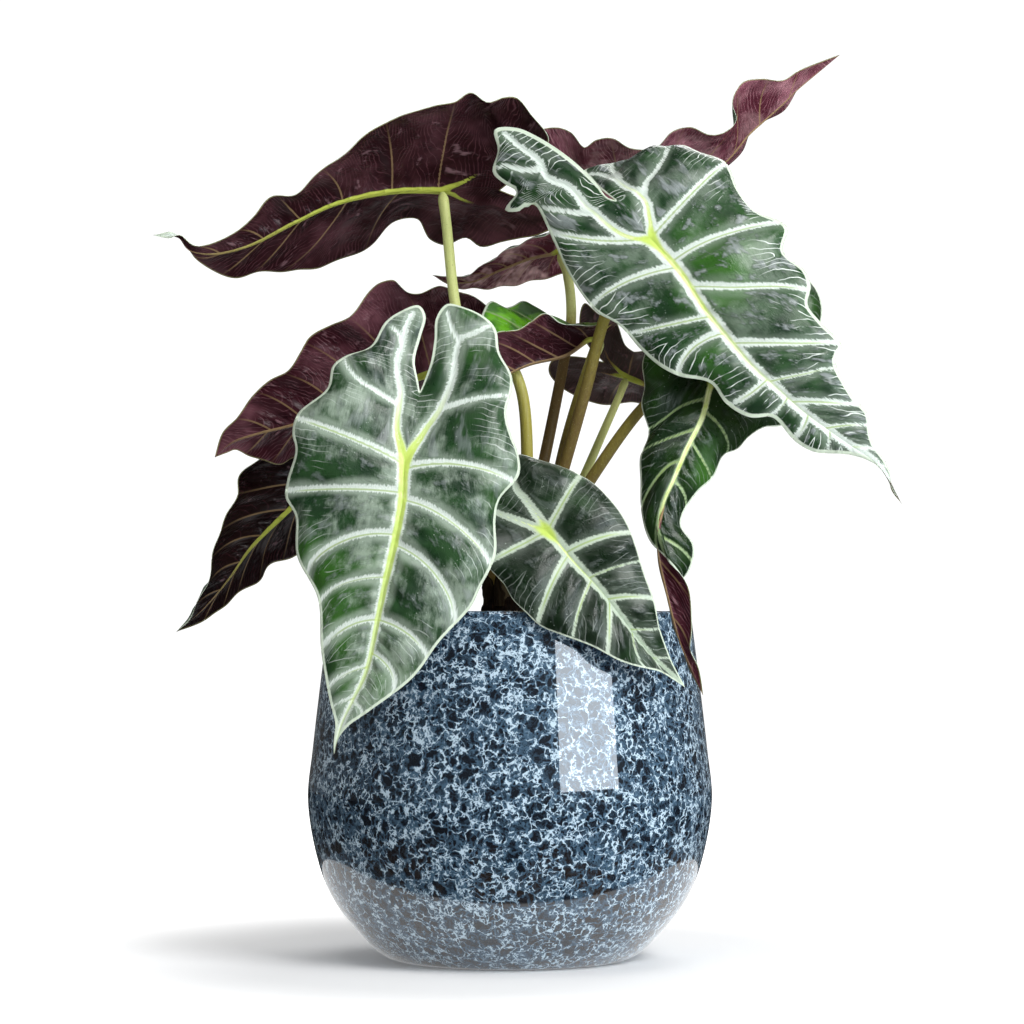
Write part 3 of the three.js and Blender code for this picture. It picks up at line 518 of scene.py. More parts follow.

# How a leaf looks where its own entry says nothing else. bloom: strength of the painted grey sheen in
# clouds and beside the veins, also how far in millimetres the thin core of a lateral lies towards the tip.
# threads: strength of the thin lines along the margin. heart: half width of the yellow-green heart of the
# midrib in millimetres. dull: greyness of the veins. young: bright green of a young leaf. blush: lightness
# of the purple underside. rib_reach: how far from the join the rib below stays green. rim: width of the
# pale margin in millimetres. deep: share of almost black green, partly the leaf's own dark green and
# partly painted shade on leaves that hang in the shade of others. shine: strength of the painted
# highlights on the blisters and of the painted shade at their feet. grey and gleam: greyness and painted
# pinkish white gleam of the underside. An entry may also have heart_reach in place of HEART_REACH,
# rib_scale and vein_scale for the width of its midrib and of all its pale bands, and quilt for the
# strength of its relief.
LOOKS = {
    "painted_sheen": 0.4, "threads": 0.5, "heart": 1.5, "dull": 0, "young": 0, "blush": 0.5, "rib_reach": 60,
    "rim": 1.1, "deep_shade": 0.2, "shine": 0.5, "grey": 0, "gleam": 0,
}

# Thin lines run as half ellipses round the outer ends of the laterals, this many times as long as wide
ARC_LENGTH = 3

# The share of a blade's rows before the join over which its arch changes
JOIN_BLEND = 0.06

# Rows and columns of half a blade: the two large leaves at the front are finer than the rest
FINE_GRID = (200, 50)
PLAIN_GRID = (150, 32)
FRONT_LEAVES = ("front_left", "right_high")

# The lights: where each stands and aims, in metres, its width and height, its power in watts and colour
MIDDLE = (0, 0, 0.25)
LIGHTS = {
    "window_right": ((1.145, -1.16, 0.49), (0, 0, 0.15), 1.03, 0.42, 10, (0.82, 0.91, 1)),
    "key_right": ((0.95, -1.15, 1.25), MIDDLE, 0.9, 0.8, 24, (1, 1, 1)),
    "top": ((-0.2, -0.6, 1.95), MIDDLE, 1, 0.8, 7, (1, 1, 1)),
    "back_light": ((0.6, 1.2, 1.5), MIDDLE, 1.2, 0.6, 11, (1, 1, 1)),
}

# How far the camera looks up: in the photograph the rim, level with the camera, lies this many pixels
# below the middle, and the lens has this focal length in pixels
RIM_BELOW_MIDDLE = 99
LENS_PIXELS = 3030
PITCH = math.atan(RIM_BELOW_MIDDLE / LENS_PIXELS)

# Floor, in millimetres
FLOOR_RADIUS = 2500
FLOOR_HEIGHT = -0.5
FLOOR_SIDES = 96


def smooth_curve(points, before=None, after=None, power=0.5, samples=600):
    """Catmull-Rom curve through points: between two points a cubic whose end tangents come from the
    neighbours, each step weighted by a power of its length. before and after are the neighbours of the
    first and the last point, mirrored points where they aren't given."""
    p = np.asarray(points, float)
    last = len(p) - 1
    first = 2 * p[0] - p[1] if before is None else before
    final = 2 * p[-1] - p[-2] if after is None else after
    reach = np.vstack([first, p, final])
    place = np.linspace(0, last, samples)
    k = np.minimum(place.astype(int), last - 1)
    w = (place - k)[:, None]
    p0, p1, p2, p3 = (reach[k + i] for i in range(4))
    steps = (p1 - p0, p2 - p1, p3 - p2)
    d0, d1, d2 = (np.linalg.norm(step, axis=1)[:, None] ** power for step in steps)
    start = ((p1 - p0) / d0 - (p2 - p0) / (d0 + d1) + (p2 - p1) / d1) * d1
    end = ((p2 - p1) / d1 - (p3 - p1) / (d1 + d2) + (p3 - p2) / d2) * d1
    square = 3 * (p2 - p1) - 2 * start - end
    cube = 2 * (p1 - p2) + start + end
    return p1 + start * w + square * w**2 + cube * w**3


def shares_of(curve):
    """How far along a polyline each of its points lies, from 0 to 1."""
    steps = np.linalg.norm(np.diff(curve, axis=0), axis=1)
    run = np.concatenate([[0], np.cumsum(steps)])
    return run / run[-1]


def at_shares(curve, shares):
    """Points at the given shares of a polyline's length."""
    run = shares_of(curve)
    return np.stack([np.interp(shares, run, values) for values in curve.T], axis=-1)


def along(points, shares, before=None):
    """Points at the given shares of the length of the smooth curve through points."""
    return at_shares(smooth_curve(points, before), shares)


def unit(vectors):
    """Vectors over their lengths."""
    length = np.linalg.norm(vectors, axis=-1, keepdims=True)
    return vectors / np.maximum(length, 1e-9)


def polar(radius, angle, height):
    """Points (radius cos angle, radius sin angle, height)."""
    return np.stack(np.broadcast_arrays(radius * np.cos(angle), radius * np.sin(angle), height), axis=-1)


def round_angles(sides):
    """Even angles of a full turn."""
    return np.linspace(0, 2 * np.pi, sides, endpoint=False)


def soft_step(value, low, high):
    """0 below low, 1 above high and a smooth rise 3x^2 - 2x^3 between."""
    x = np.clip((value - low) / (high - low), 0, 1)
    return x * x * (3 - 2 * x)


def hump(value, width):
    """The bell e^-(value / width)^2."""
    return np.exp(-((value / width) ** 2))


def lattice_noise(points, size, seed):
    """Value noise from -1 to 1: random values on a cubic lattice of the given cell size, blended with
    the smooth rise 3x^2 - 2x^3 along each axis."""
    table = np.random.default_rng(seed).uniform(-1, 1, 4096)
    scaled = np.asarray(points, float) / size
    cell = np.floor(scaled).astype(np.int64)
    part = scaled - cell
    part = part * part * (3 - 2 * part)
    total = 0
    for corner in np.ndindex(2, 2, 2):
        place = cell + np.array(corner)
        index = (place[..., 0] * 73 + place[..., 1] * 179 + place[..., 2] * 283) % 4096
        weight = np.prod(np.where(np.array(corner) == 1, part, 1 - part), axis=-1)
        total = total + table[index] * weight
    return total


def name_seed(name):
    """A seed for a leaf's noise, from the letters of its name."""
    return sum(map(ord, name))


def joined(index):
    """A grid of vertex numbers with its first column again after the last."""
    return np.concatenate([index, index[:, :1]], axis=1)


def grid_triangles(index):
    """Two triangles for each cell of a grid of vertex numbers, without those that a pole closes up."""
    a, b, c, d = index[:-1, :-1], index[1:, :-1], index[1:, 1:], index[:-1, 1:]
    halves = [np.stack(corners, -1).reshape(-1, 3) for corners in ([a, b, c], [a, c, d])]
    both = np.concatenate(halves)
    open_faces = (both[:, 0] != both[:, 1]) & (both[:, 1] != both[:, 2]) & (both[:, 2] != both[:, 0])
    return both[open_faces]


def vertex_normals(points, triangles):
    """The sum of the normals of the triangles round each point, by area."""
    a, b, c = (points[triangles[:, i]] for i in range(3))
    face = np.cross(b - a, c - a)
    total = np.zeros_like(points)
    for i in range(3):
        np.add.at(total, triangles[:, i], face)
    return unit(total)


def open_edges(triangles):
    """The edges, as directed pairs of vertices, that only one triangle has."""
    edges = np.concatenate([triangles[:, [0, 1]], triangles[:, [1, 2]], triangles[:, [2, 0]]])
    size = triangles.max() + 1
    code = edges[:, 0] * size + edges[:, 1]
    back = edges[:, 1] * size + edges[:, 0]
    return edges[~np.isin(code, back)]


def make_piece(name, points, triangles, materials, kinds=None, attributes=None):
    """Puts points in millimetres and triangles into a smooth mesh object at the origin."""
    used, triangles = np.unique(triangles, return_inverse=True)
    triangles = triangles.reshape(-1, 3)
    mesh = bpy.data.meshes.new(name)
    mesh.from_pydata((points[used] * MM).tolist(), [], triangles.tolist())
    for material in materials:
        mesh.materials.append(material)
    if kinds is not None:
        mesh.polygons.foreach_set("material_index", kinds.astype(np.int32))
    mesh.polygons.foreach_set("use_smooth", np.ones(len(triangles), bool))
    for key, values in (attributes or {}).items():
        layer = mesh.attributes.new(key, "FLOAT", "POINT")
        layer.data.foreach_set("value", values[used].astype(np.float32))
    mesh.update()
    piece = bpy.data.objects.new(name, mesh)
    bpy.context.scene.collection.objects.link(piece)
    return piece


def dress(piece, node):
    """The piece rides on the plant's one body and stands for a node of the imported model."""
    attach(piece, "root")
    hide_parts(node)


def put(socket, value):
    """Sets a socket to a number, vector or colour, or links a value to it."""
    if isinstance(value, Value):
        value.tree.links.new(value.socket, socket)
    elif socket.type == "RGBA":
        socket.default_value = (*tuple(value)[:3], 1)
    else:
        socket.default_value = value


def wire(tree, kind, inputs, output=0, **settings):
    """A new node of a kind, with its inputs fed, and one of its outputs as a value."""
    node = tree.nodes.new("ShaderNode" + kind)
    for key, setting in settings.items():
        setattr(node, key, setting)
    for key, value in inputs.items():
        put(node.inputs[key], value)
    return Value(tree, node.outputs[output])


class Value:
    """What a node puts out: a number, vector or colour at each place of a surface. Sums of values add
    nodes to the tree."""

    def __init__(self, tree, socket):
        self.tree = tree
        self.socket = socket

    def math(self, operation, *values):
        return wire(self.tree, "Math", dict(enumerate(values)), operation=operation)

    def __add__(self, other):
        return self.math("ADD", self, other)

    def __sub__(self, other):
        return self.math("SUBTRACT", self, other)

    def __mul__(self, other):
        return self.math("MULTIPLY", self, other)

    def __truediv__(self, other):
        return self.math("DIVIDE", self, other)

    def __abs__(self):
        return self.math("ABSOLUTE", self)

    def fraction(self):
        return self.math("FRACT", self)

    def most(self, other):
        return self.math("MAXIMUM", self, other)

    def length_with(self, other):
        """sqrt(x^2 + y^2)"""
        return self.math("SQRT", self * self + other * other)

    def axis(self, letter):
        return wire(self.tree, "SeparateXYZ", {0: self}, letter)

    def rise(self, low, high, start=0, end=1):
        """start below low, end above high, with a smooth step between; low may be the greater."""
        numbers = dict(enumerate((self, low, high, start, end)))
        return wire(self.tree, "MapRange", numbers, interpolation_type="SMOOTHSTEP")

    def mix(self, first, second):
        """The first colour where this value is 0, the second where it is 1."""
        return wire(self.tree, "Mix", {0: self, 6: first, 7: second}, 2, data_type="RGBA")


class Shader:
    """A material, with short calls for its patterns. shader["name"] is the piece's own attribute."""

    def __init__(self, name, roughness, coat=0.0, coat_roughness=0.03, shine=0.5):
        self.material = bpy.data.materials.new(name)
        self.material.use_nodes = True
        self.tree = self.material.node_tree
        self.attributes = {}
        self.surface = self.tree.nodes["Principled BSDF"]
        self.set("Roughness", roughness)
        self.set("Coat Weight", coat)
        self.set("Coat Roughness", coat_roughness)
        self.set("Specular IOR Level", shine)

    def set(self, key, value):
        put(self.surface.inputs[key], value)

    def __getitem__(self, name):
        if name not in self.attributes:
            self.attributes[name] = wire(self.tree, "Attribute", {}, "Fac", attribute_name=name)
        return self.attributes[name]

    def place(self):
        return wire(self.tree, "TexCoord", {}, "Object")

    def ray(self, kind):
        return wire(self.tree, "LightPath", {}, kind)

    def vector(self, x, y):
        return wire(self.tree, "CombineXYZ", {0: x, 1: y})

    def drawn_up(self, vector, share):
        """The place with its height shrunk, which draws a pattern out upwards."""
        return wire(self.tree, "Mapping", {"Vector": vector, "Scale": (1, 1, share)})

    def shift(self, vector, offset, scale):
        """vector + scale * (offset - 0.5)"""
        centred = wire(self.tree, "VectorMath", {0: offset, 1: (0.5, 0.5, 0.5)}, operation="SUBTRACT")
        inputs = {0: centred, 1: (scale, scale, scale), 2: vector}
        return wire(self.tree, "VectorMath", inputs, operation="MULTIPLY_ADD")

    def noise(self, vector, scale, detail, roughness, output=0):
        inputs = {"Vector": vector, "Scale": scale, "Detail": detail, "Roughness": roughness}
        return wire(self.tree, "TexNoise", inputs, output)

    def cells(self, vector, scale, feature="DISTANCE_TO_EDGE"):
        inputs = {"Vector": vector, "Scale": scale}
        return wire(self.tree, "TexVoronoi", inputs, "Distance", feature=feature)

    def finish(self, colour, height=None, depth=0.001):
        """The material with its colour, and its height as bumps of the given depth in metres."""
        self.set("Base Color", colour)
        if height is not None:
            self.set("Normal", wire(self.tree, "Bump", {"Distance": depth, "Height": height}))
        return self.material


def laterals_of(leaf, side):
    return leaf.get(side + "_laterals", PLAIN_LATERALS[side])


def blade_sheet(leaf, side, u, t):
    """Half a blade: straight rows S = inner(u) + t (margin(u) - inner(u)), where inner follows the
    notch for the first LOBE_ROWS of u and then the spine, turned about the spine near a twisted tip,
    and lifted along the normal of the upper side by 4 arch width t (1 - t) + ripple sin(2 pi RIPPLES u)
    sin(pi u) t^2. Behind the join, from JOIN_BLEND of the rows before it, the arch 27/4 t^2 (1 - t)
    leaves the middle smooth. Returns points and widths."""
    lobe = np.clip(u / LOBE_ROWS, 0, 1)
    front = np.clip((u - LOBE_ROWS) / (1 - LOBE_ROWS), 0, 1)
    notch = [leaf[side][0], *leaf[side + "_notch"], leaf["spine"][0]]
    margin = along(leaf[side], leaf["lobe_share"] * lobe + (1 - leaf["lobe_share"]) * front, notch[1])
    rear = along(notch, lobe, leaf[side][1])
    inner = np.where((u < LOBE_ROWS)[:, None], rear, along(leaf["spine"], front))
    across = margin - inner
    angle = (math.radians(leaf.get("twist", 0)) * soft_step(u, *TWIST_ROWS))[:, None]
    across = across * np.cos(angle) + np.cross(unit(np.gradient(inner, axis=0)), across) * np.sin(angle)
    width = np.linalg.norm(across, axis=1)[:, None]
    flat = inner[:, None] + t[None, :, None] * across[:, None]
    turn = -1 if side == "left" else 1
    normal = unit(np.cross(np.gradient(flat, axis=0), turn * across[:, None]))
    wave = leaf["ripple"] * np.sin(2 * np.pi * RIPPLES * u) * np.sin(np.pi * u)
    join = join_share(leaf)
    behind = 1 - soft_step(u, join - JOIN_BLEND, join)[:, None]
    rise = 4 * t * (1 - t) * (1 - behind) + 6.75 * t**2 * (1 - t) * behind
    lift = leaf["arch"] * width * rise + wave[:, None] * t**2
    return flat + lift[..., None] * normal, width * np.ones_like(t)


def on_sheet(sheet, u, t, path):
    """Points of a sheet at the (u, t) pairs of a path, weighted from the four grid points round each."""
    row = np.interp(path[:, 0], u, np.arange(len(u)))
    column = np.interp(path[:, 1], t, np.arange(len(t)))
    i = np.minimum(row.astype(int), len(u) - 2)
    j = np.minimum(column.astype(int), len(t) - 2)
    a, b = (row - i)[:, None], (column - j)[:, None]
    near = sheet[i, j] * (1 - b) + sheet[i, j + 1] * b
    far = sheet[i + 1, j] * (1 - b) + sheet[i + 1, j + 1] * b
    return near * (1 - a) + far * a


def lateral_path(lateral):
    """A lateral as (u, t): u is the parabola through its three places, t runs from 0 to 1."""
    t = np.linspace(0, 1, 24)
    start, middle, end = lateral[:3]
    u = start * (1 - t) * (1 - 2 * t) + 4 * middle * t * (1 - t) + end * t * (2 * t - 1)
    return np.stack([u, t], axis=-1)


def join_share(leaf):
    """Where along the rows the stalk joins the spine."""
    curve = smooth_curve(leaf["spine"])
    nearest = np.argmin(np.linalg.norm(curve - np.array(leaf["spine"][1]), axis=1))
    return LOBE_ROWS + (1 - LOBE_ROWS) * shares_of(curve)[nearest]


def vein_paths(leaf, side):
    """The veins of half a blade as (path, half widths, kind)."""
    join = join_share(leaf)
    midrib = np.stack([np.linspace(join, 1, 60), np.zeros(60)], axis=-1)
    paths = [(midrib, np.multiply(MIDRIB_WIDTH, leaf.get("rib_scale", 1)), "midrib")]
    costa, *branches = leaf.get(side + "_costa", PLAIN_COSTA)
    shares = np.linspace(0, 1, 40)
    paths.append((along([(join, 0), *costa[1:]], shares), COSTA_WIDTH, "costa"))
    paths += [(along(branch, shares), BRANCH_WIDTH, "branch") for branch in branches]
    for lateral in laterals_of(leaf, side):
        size = lateral[3] if len(lateral) > 3 else 1
        paths.append((lateral_path(lateral), np.multiply(LATERAL_WIDTH, size), "lateral"))
    return paths


def distance_to(line, points):
    """The distance of each point to a polyline, and the share of its length at the nearest place."""
    start, step = line[:-1], np.diff(line, axis=0)
    square = np.maximum(np.sum(step**2, axis=1), 1e-9)
    towards = points[:, None] - start
    part = np.clip(np.einsum("ijk,jk->ij", towards, step) / square, 0, 1)
    gap = np.linalg.norm(towards - part[..., None] * step, axis=2)
    nearest = np.argmin(gap, axis=1)
    run = shares_of(line)
    rows = np.arange(len(points))
    share = run[nearest] + part[rows, nearest] * (run[nearest + 1] - run[nearest])
    return gap[rows, nearest], share


def vein_fields(leaf, side, sheet, u, t):
    """What the shading and the relief of half a blade need, for each point: its distance to the middle
    of the nearest vein and to the edge of its pale band, to the midrib and costae, to the join and to
    the margin, and glow, which fades from 1 to 0 over the reach of the heart."""
    points = sheet.reshape(-1, 3)
    far = np.full(len(points), 1e3)
    fields = {"vein": far, "band": far, "rib": far, "rib_share": far * 0}
    reach = far * 0 + 1
    for path, width, kind in vein_paths(leaf, side):
        gap, share = distance_to(on_sheet(sheet, u, t, path), points)
        half = width[0] + (width[1] - width[0]) * share
        fields["vein"] = np.minimum(fields["vein"], gap)
        fields["band"] = np.minimum(fields["band"], gap - half * leaf.get("vein_scale", 1))
        if kind in ("midrib", "costa"):
            nearer = gap < fields["rib"]
            fields["rib"] = np.where(nearer, gap, fields["rib"])
            fields["rib_share"] = np.where(nearer, share, fields["rib_share"])
            here = leaf.get("heart_reach", HEART_REACH) if kind == "midrib" else COSTA_HEART_REACH
            reach = np.where(nearer, here, reach)
    join = np.array([[join_share(leaf), 0]])
    fields["join"] = np.linalg.norm(points - on_sheet(sheet, u, t, join), axis=1)
    fields["glow"] = 1 - soft_step(fields["join"], 0.1 * reach, reach)
    edge = np.concatenate([sheet[u <= LOBE_ROWS][::-1, 0], sheet[:, -1]])
    fields["edge"] = distance_to(edge[::2], points)[0]
    return fields


def sweep_field(leaf, side, u, t):
    """Counts the laterals: at each column it is 0, 1, 2 ... where they stand and even between."""
    stations = np.stack([lateral_path(lateral)[:, 0] for lateral in laterals_of(leaf, side)])
    across = np.linspace(0, 1, stations.shape[1])
    columns = []
    for place in t:
        at = [np.interp(place, across, station) for station in stations]
        columns.append(np.interp(u, [0, *at, 1], np.arange(-1, len(at) + 1)))
    return np.stack(columns, axis=1)


def lateral_spacing(sheet, sweep, u, t):
    """Millimetres between laterals: one over the length of the gradient of the sweep on the sheet,
    which the products of the sheet's two tangents give."""
    by_u = np.gradient(sheet, u, axis=0)
    by_t = np.gradient(sheet, t, axis=1)
    sweep_u, sweep_t = np.gradient(sweep, u, t)
    uu, ut, tt = (np.sum(a * b, axis=2) for a, b in ((by_u, by_u), (by_u, by_t), (by_t, by_t)))
    area = np.maximum(uu * tt - ut**2, 1e-3)
    square = (tt * sweep_u**2 - 2 * ut * sweep_u * sweep_t + uu * sweep_t**2) / area
    return 1 / np.sqrt(np.maximum(square, 1e-4))


def half_blade(leaf, side, rows, columns):
    """Half a blade before its relief, as its sheet of points and the fields that relief and shading
    read at each of them."""
    u = np.linspace(0, 1, rows + 1)
    t = np.linspace(0, 1, columns + 1) ** 1.2
    sheet, width = blade_sheet(leaf, side, u, t)
    fields = vein_fields(leaf, side, sheet, u, t)
    sweep = sweep_field(leaf, side, u, t)
    length = np.sum(np.linalg.norm(np.diff(smooth_curve(leaf["spine"]), axis=0), axis=1))
    fields["sweep"] = sweep.ravel()
    fields["pitch"] = lateral_spacing(sheet, sweep, u, t).ravel()
    fields["reach"] = (width * t).ravel()
    fields["along"] = np.repeat(u * length / (1 - LOBE_ROWS), len(t))
    fields["out"] = np.tile(t, len(u))
    return sheet, fields


def panel_relief(points, fields, leaf, settings, seed):
    """How far a blade stands out on its upper side: quilt (1 - e^-(v/PANEL_RISE)^2) at v from a vein,
    with waves of blisters near the midrib and lumps of noise, all fading to the margin and the join."""
    inside = 0.25 + 0.75 * soft_step(fields["join"], *JOIN_CALM)
    inside = soft_step(fields["edge"], 0, MARGIN_CALM) * inside
    relief = settings.quilt / MM * (1 - hump(fields["vein"], PANEL_RISE)) * inside
    blister = np.sin(2 * np.pi * 3 * fields["sweep"] + 2 * lattice_noise(points, 30, seed))
    near_rib = hump(fields["out"] - BLISTER_PLACE, BLISTER_PLACE)
    relief += settings.blister / MM * blister * near_rib * soft_step(fields["vein"], 1, 5) * inside
    height, size = LUMPS
    relief += height * lattice_noise(points, size, seed + 1) * soft_step(fields["vein"], 1, 6) * inside
    return relief * leaf.get("quilt", 1)


def blade_points(name, leaf, settings):
    """Both halves of a blade joined at the spine, with the panels raised on both sides alike, given a
    thickness that thins to the margin, a groove over each vein on the upper side, and on the underside
    ribs 1.1 r e^-(d/1.15r)^2 at d from the midrib and low ones under the laterals."""
    rows, columns = FINE_GRID if name in FRONT_LEAVES else PLAIN_GRID
    halves = [half_blade(leaf, side, rows, columns) for side in ("left", "right")]
    left, right = np.arange(2 * (rows + 1) * (columns + 1)).reshape(2, rows + 1, -1)
    lobe = int(round(LOBE_ROWS * rows))
    left[0] = left[0, 0]
    right[0] = right[0, 0]
    right[lobe:, 0] = left[lobe:, 0]
    left[-1] = left[-1, 0]
    right[-1] = left[-1, 0]
    points = np.concatenate([sheet.reshape(-1, 3) for sheet, half in halves])
    fields = {key: np.concatenate([half[key] for sheet, half in halves]) for key in halves[0][1]}
    faces = np.concatenate([grid_triangles(left)[:, ::-1], grid_triangles(right)])
    relief = panel_relief(points, fields, leaf, settings, name_seed(name))
    middle = points + relief[:, None] * vertex_normals(points, faces)
    normal = vertex_normals(middle, faces)
    thick = settings.thickness / MM * (0.35 + 0.65 * soft_step(fields["edge"], 0, 6)) / 2
    line = hump(fields["vein"], VEIN_LINE)
    rib_size = leaf["top"] * (1 - 0.85 * fields["rib_share"])
    rib_size = rib_size * (0.35 + 0.65 * np.exp(-fields["join"] / 60))
    rib = 1.1 * rib_size * hump(fields["rib"], 1.15 * rib_size)
    lateral = 0.5 * line * soft_step(fields["edge"], 0, 10)
    upper = middle + (thick - GROOVE * line)[:, None] * normal
    lower = middle - (thick + np.maximum(rib, lateral))[:, None] * normal
    return upper, lower, faces, fields


def make_blade(name, leaf, settings, materials):
    """A closed blade: upper side, underside and a narrow wall along its open edge."""
    upper, lower, faces, fields = blade_points(name, leaf, settings)
    count = len(upper)
    start, end = open_edges(faces).T
    wall = [(end, start, start + count), (end, start + count, end + count)]
    wall = np.concatenate([np.stack(corners, -1) for corners in wall])
    triangles = np.concatenate([faces, faces[:, ::-1] + count, wall])
    kinds = np.concatenate([np.zeros(len(faces)), np.ones(len(faces)), np.zeros(len(wall))])
    attributes = {key: np.tile(values, 2) for key, values in fields.items()}
    attributes |= {key: np.full(2 * count, float(leaf.get(key, usual))) for key, usual in LOOKS.items()}
    points = np.concatenate([upper, lower])
    piece = make_piece("blade_" + name + "_veined", points, triangles, materials, kinds, attributes)
    dress(piece, "blade_" + name)


def carried_frames(centres):
    """Two normals for each point of a path, carried along it without twist: each ring's are the last
    ring's less their part along the new tangent."""
    tangent = unit(np.gradient(centres, axis=0))
    first = np.cross(tangent[0], (0, 1, 0) if abs(tangent[0][1]) < 0.9 else (1, 0, 0))
    normals = [unit(first)]
    for direction in tangent[1:]:
        last = normals[-1]
        normals.append(unit(last - np.dot(last, direction) * direction))
    normals = np.array(normals)
    return normals, np.cross(tangent, normals)


def tube(centres, radii):
    """A round tube: rings round the centres with a radius for each point of each ring, closed by a
    point at each end."""
    normal, across = carried_frames(centres)
    rings, sides = radii.shape
    angle = round_angles(sides)
    ring = np.cos(angle)[None, :, None] * normal[:, None] + np.sin(angle)[None, :, None] * across[:, None]
    body = centres[:, None] + radii[..., None] * ring
    points = np.concatenate([body.reshape(-1, 3), centres[:1], centres[-1:]])
    index = np.arange(rings * sides).reshape(rings, sides)
    first, last = (np.full((1, sides), len(points) - back) for back in (2, 1))
    index = joined(np.concatenate([first, index, last]))
    return points, grid_triangles(index)[:, ::-1]


def socket_place(leaf):
    """Where a leaf's stalk stands, as (x, y)."""
    angle = math.radians(leaf["angle"])
    return CROWN_X + leaf["ring"] * math.cos(angle), leaf["ring"] * math.sin(angle)


def stalk_centres(leaf):
    """The middle of a stalk from the floor of its socket to just under the middle of its blade."""
    x, y = socket_place(leaf)
    route = [(x, y, SOCKET_FLOOR + CLEARANCE), (x, y, CROWN_TOP + 1), *leaf["stalk"], leaf["spine"][1]]
    return along(route, np.linspace(0, 1, STALK_RINGS))


def join_normal(leaf):
    """The normal of the upper side where the stalk joins, from the spine and the two margins."""
    front = (join_share(leaf) - LOBE_ROWS) / (1 - LOBE_ROWS)
    spine = along(leaf["spine"], np.array([max(front - 0.03, 0), front + 0.03]))
    place = np.array([leaf["lobe_share"] + (1 - leaf["lobe_share"]) * front])
    across = along(leaf["right"], place)[0] - along(leaf["left"], place)[0]
    return unit(np.cross(spine[1] - spine[0], across))


def make_stalk(name, leaf, settings, material):
    """A stalk thinning evenly from foot to top, a little swollen at its top, with shallow flutes round
    it, that ends in the rib under its blade."""
    centres = stalk_centres(leaf)
    share = shares_of(centres)
    top, foot = leaf["top"], leaf["foot"]
    sink = join_normal(leaf) * (top + 0.4)
    centres = centres - soft_step(share, leaf.get("sink_from", 0.9), 0.98)[:, None] * sink
    radius = (foot + (top - foot) * share) * (1 + 0.12 * hump(share - 1, 0.05))
    radius = radius * np.sqrt(np.clip((1.004 - share) / 0.02, 0, 1))
    wobble = 1 + 0.02 * lattice_noise(centres, 25, name_seed(name))
    angle = round_angles(STALK_SIDES)
    flutes = 1 + settings.flutes * (np.sin(5 * angle) + 0.6 * np.sin(8 * angle + 1))
    points, faces = tube(centres, (radius * wobble)[:, None] * flutes)
    low, high, start, end = leaf.get("tone", (0.05, 0.95, 0.2, 0.9))
    tone = low + (high - low) * soft_step(share, start, end)
    tone = np.concatenate([np.repeat(tone, STALK_SIDES), [low, high]])
    piece = make_piece("leafstalk_" + name + "_fluted", points, faces, [material], attributes={"tone": tone})
    dress(piece, "leafstalk_" + name)


def wall_points(depth, bottom, top, steps):
    """Points (radius, height) on the pot's wall at a depth inside its outer face."""
    curve = smooth_curve(POT_OUTSIDE, POT_OUTSIDE[0], POT_OUTSIDE[-1], 0, 400)
    place = at_shares(curve, np.linspace(0, 1, steps))
    tangent = unit(np.gradient(place, axis=0))
    inner = place + depth * np.stack([-tangent[:, 1], tangent[:, 0]], axis=-1)
    return inner[(inner[:, 1] >= bottom) & (inner[:, 1] <= top)]


def turned(profile, sides, swell=None):
    """A closed profile (radius, height) carried round the Z axis. swell adds to each point's radius."""
    radius, height = (np.repeat(column[:, None], sides, axis=1) for column in np.asarray(profile, float).T)
    angle = round_angles(sides)
    if swell is not None:
        radius = radius + swell(angle, height) * (radius > 1e-6)
    index = np.arange(radius.size).reshape(-1, sides)
    index[0] = index[0, 0]
    index[-1] = index[-1, 0]
    return polar(radius, angle, height).reshape(-1, 3), grid_triangles(joined(index))


def make_pot(material):
    """The pot turned round its axis: outside wall, round lip as a half circle, inside wall and floor,
    with a small bevel where the wall meets the foot."""
    above = POT_OUTSIDE[-1][1] + POT_WALL
    outside = wall_points(0, 0, above, 120)
    inside = wall_points(POT_WALL, POT_FLOOR + 2, above, 80)[::-1]
    half = POT_WALL / 2
    turn = np.linspace(0, np.pi, 13)[1:-1]
    lip = outside[-1] + half * np.stack([np.cos(turn) - 1, np.sin(turn)], axis=-1)
    bevel = [(outside[0][0] + less, height) for less, height in FOOT_BEVEL]
    floor = [(inside[-1][0] - inside[-1][1] + POT_FLOOR, POT_FLOOR), (0, POT_FLOOR)]
    profile = np.concatenate([[(0, 0)], bevel, outside[1:], lip, inside, floor])
    points, faces = turned(profile, POT_SIDES)
    dress(make_piece("pot_glazed", points, faces, [material]), "pot")


def soil_height(x, y, edge_radius):
    """The mound SOIL_MOUND (1 - r^2) with waves round it and crumbs of three sizes."""
    radius = np.hypot(x, y)
    share = np.clip(radius / edge_radius, 0, 1)
    waves = SOIL_WAVES * np.sin(5 * np.arctan2(y, x) + radius / 9) * np.sin(np.pi * share)
    place = np.stack([x, y, np.zeros_like(x)], axis=-1)
    crumbs = sum(height * lattice_noise(place, size, seed) for height, size, seed in SOIL_CRUMBS)
    return SOIL_EDGE_HEIGHT + SOIL_MOUND * (1 - share**2) + waves + crumbs * soft_step(1 - share, 0, 0.03)


def small_ball(rings, sides):
    """A ball of radius 1."""
    rise = np.linspace(0, np.pi, rings)[:, None]
    points = polar(np.sin(rise), round_angles(sides), np.cos(rise)).reshape(-1, 3)
    index = np.arange(rings * sides).reshape(rings, sides)
    index[0] = index[0, 0]
    index[-1] = index[-1, 0]
    return points, grid_triangles(joined(index))


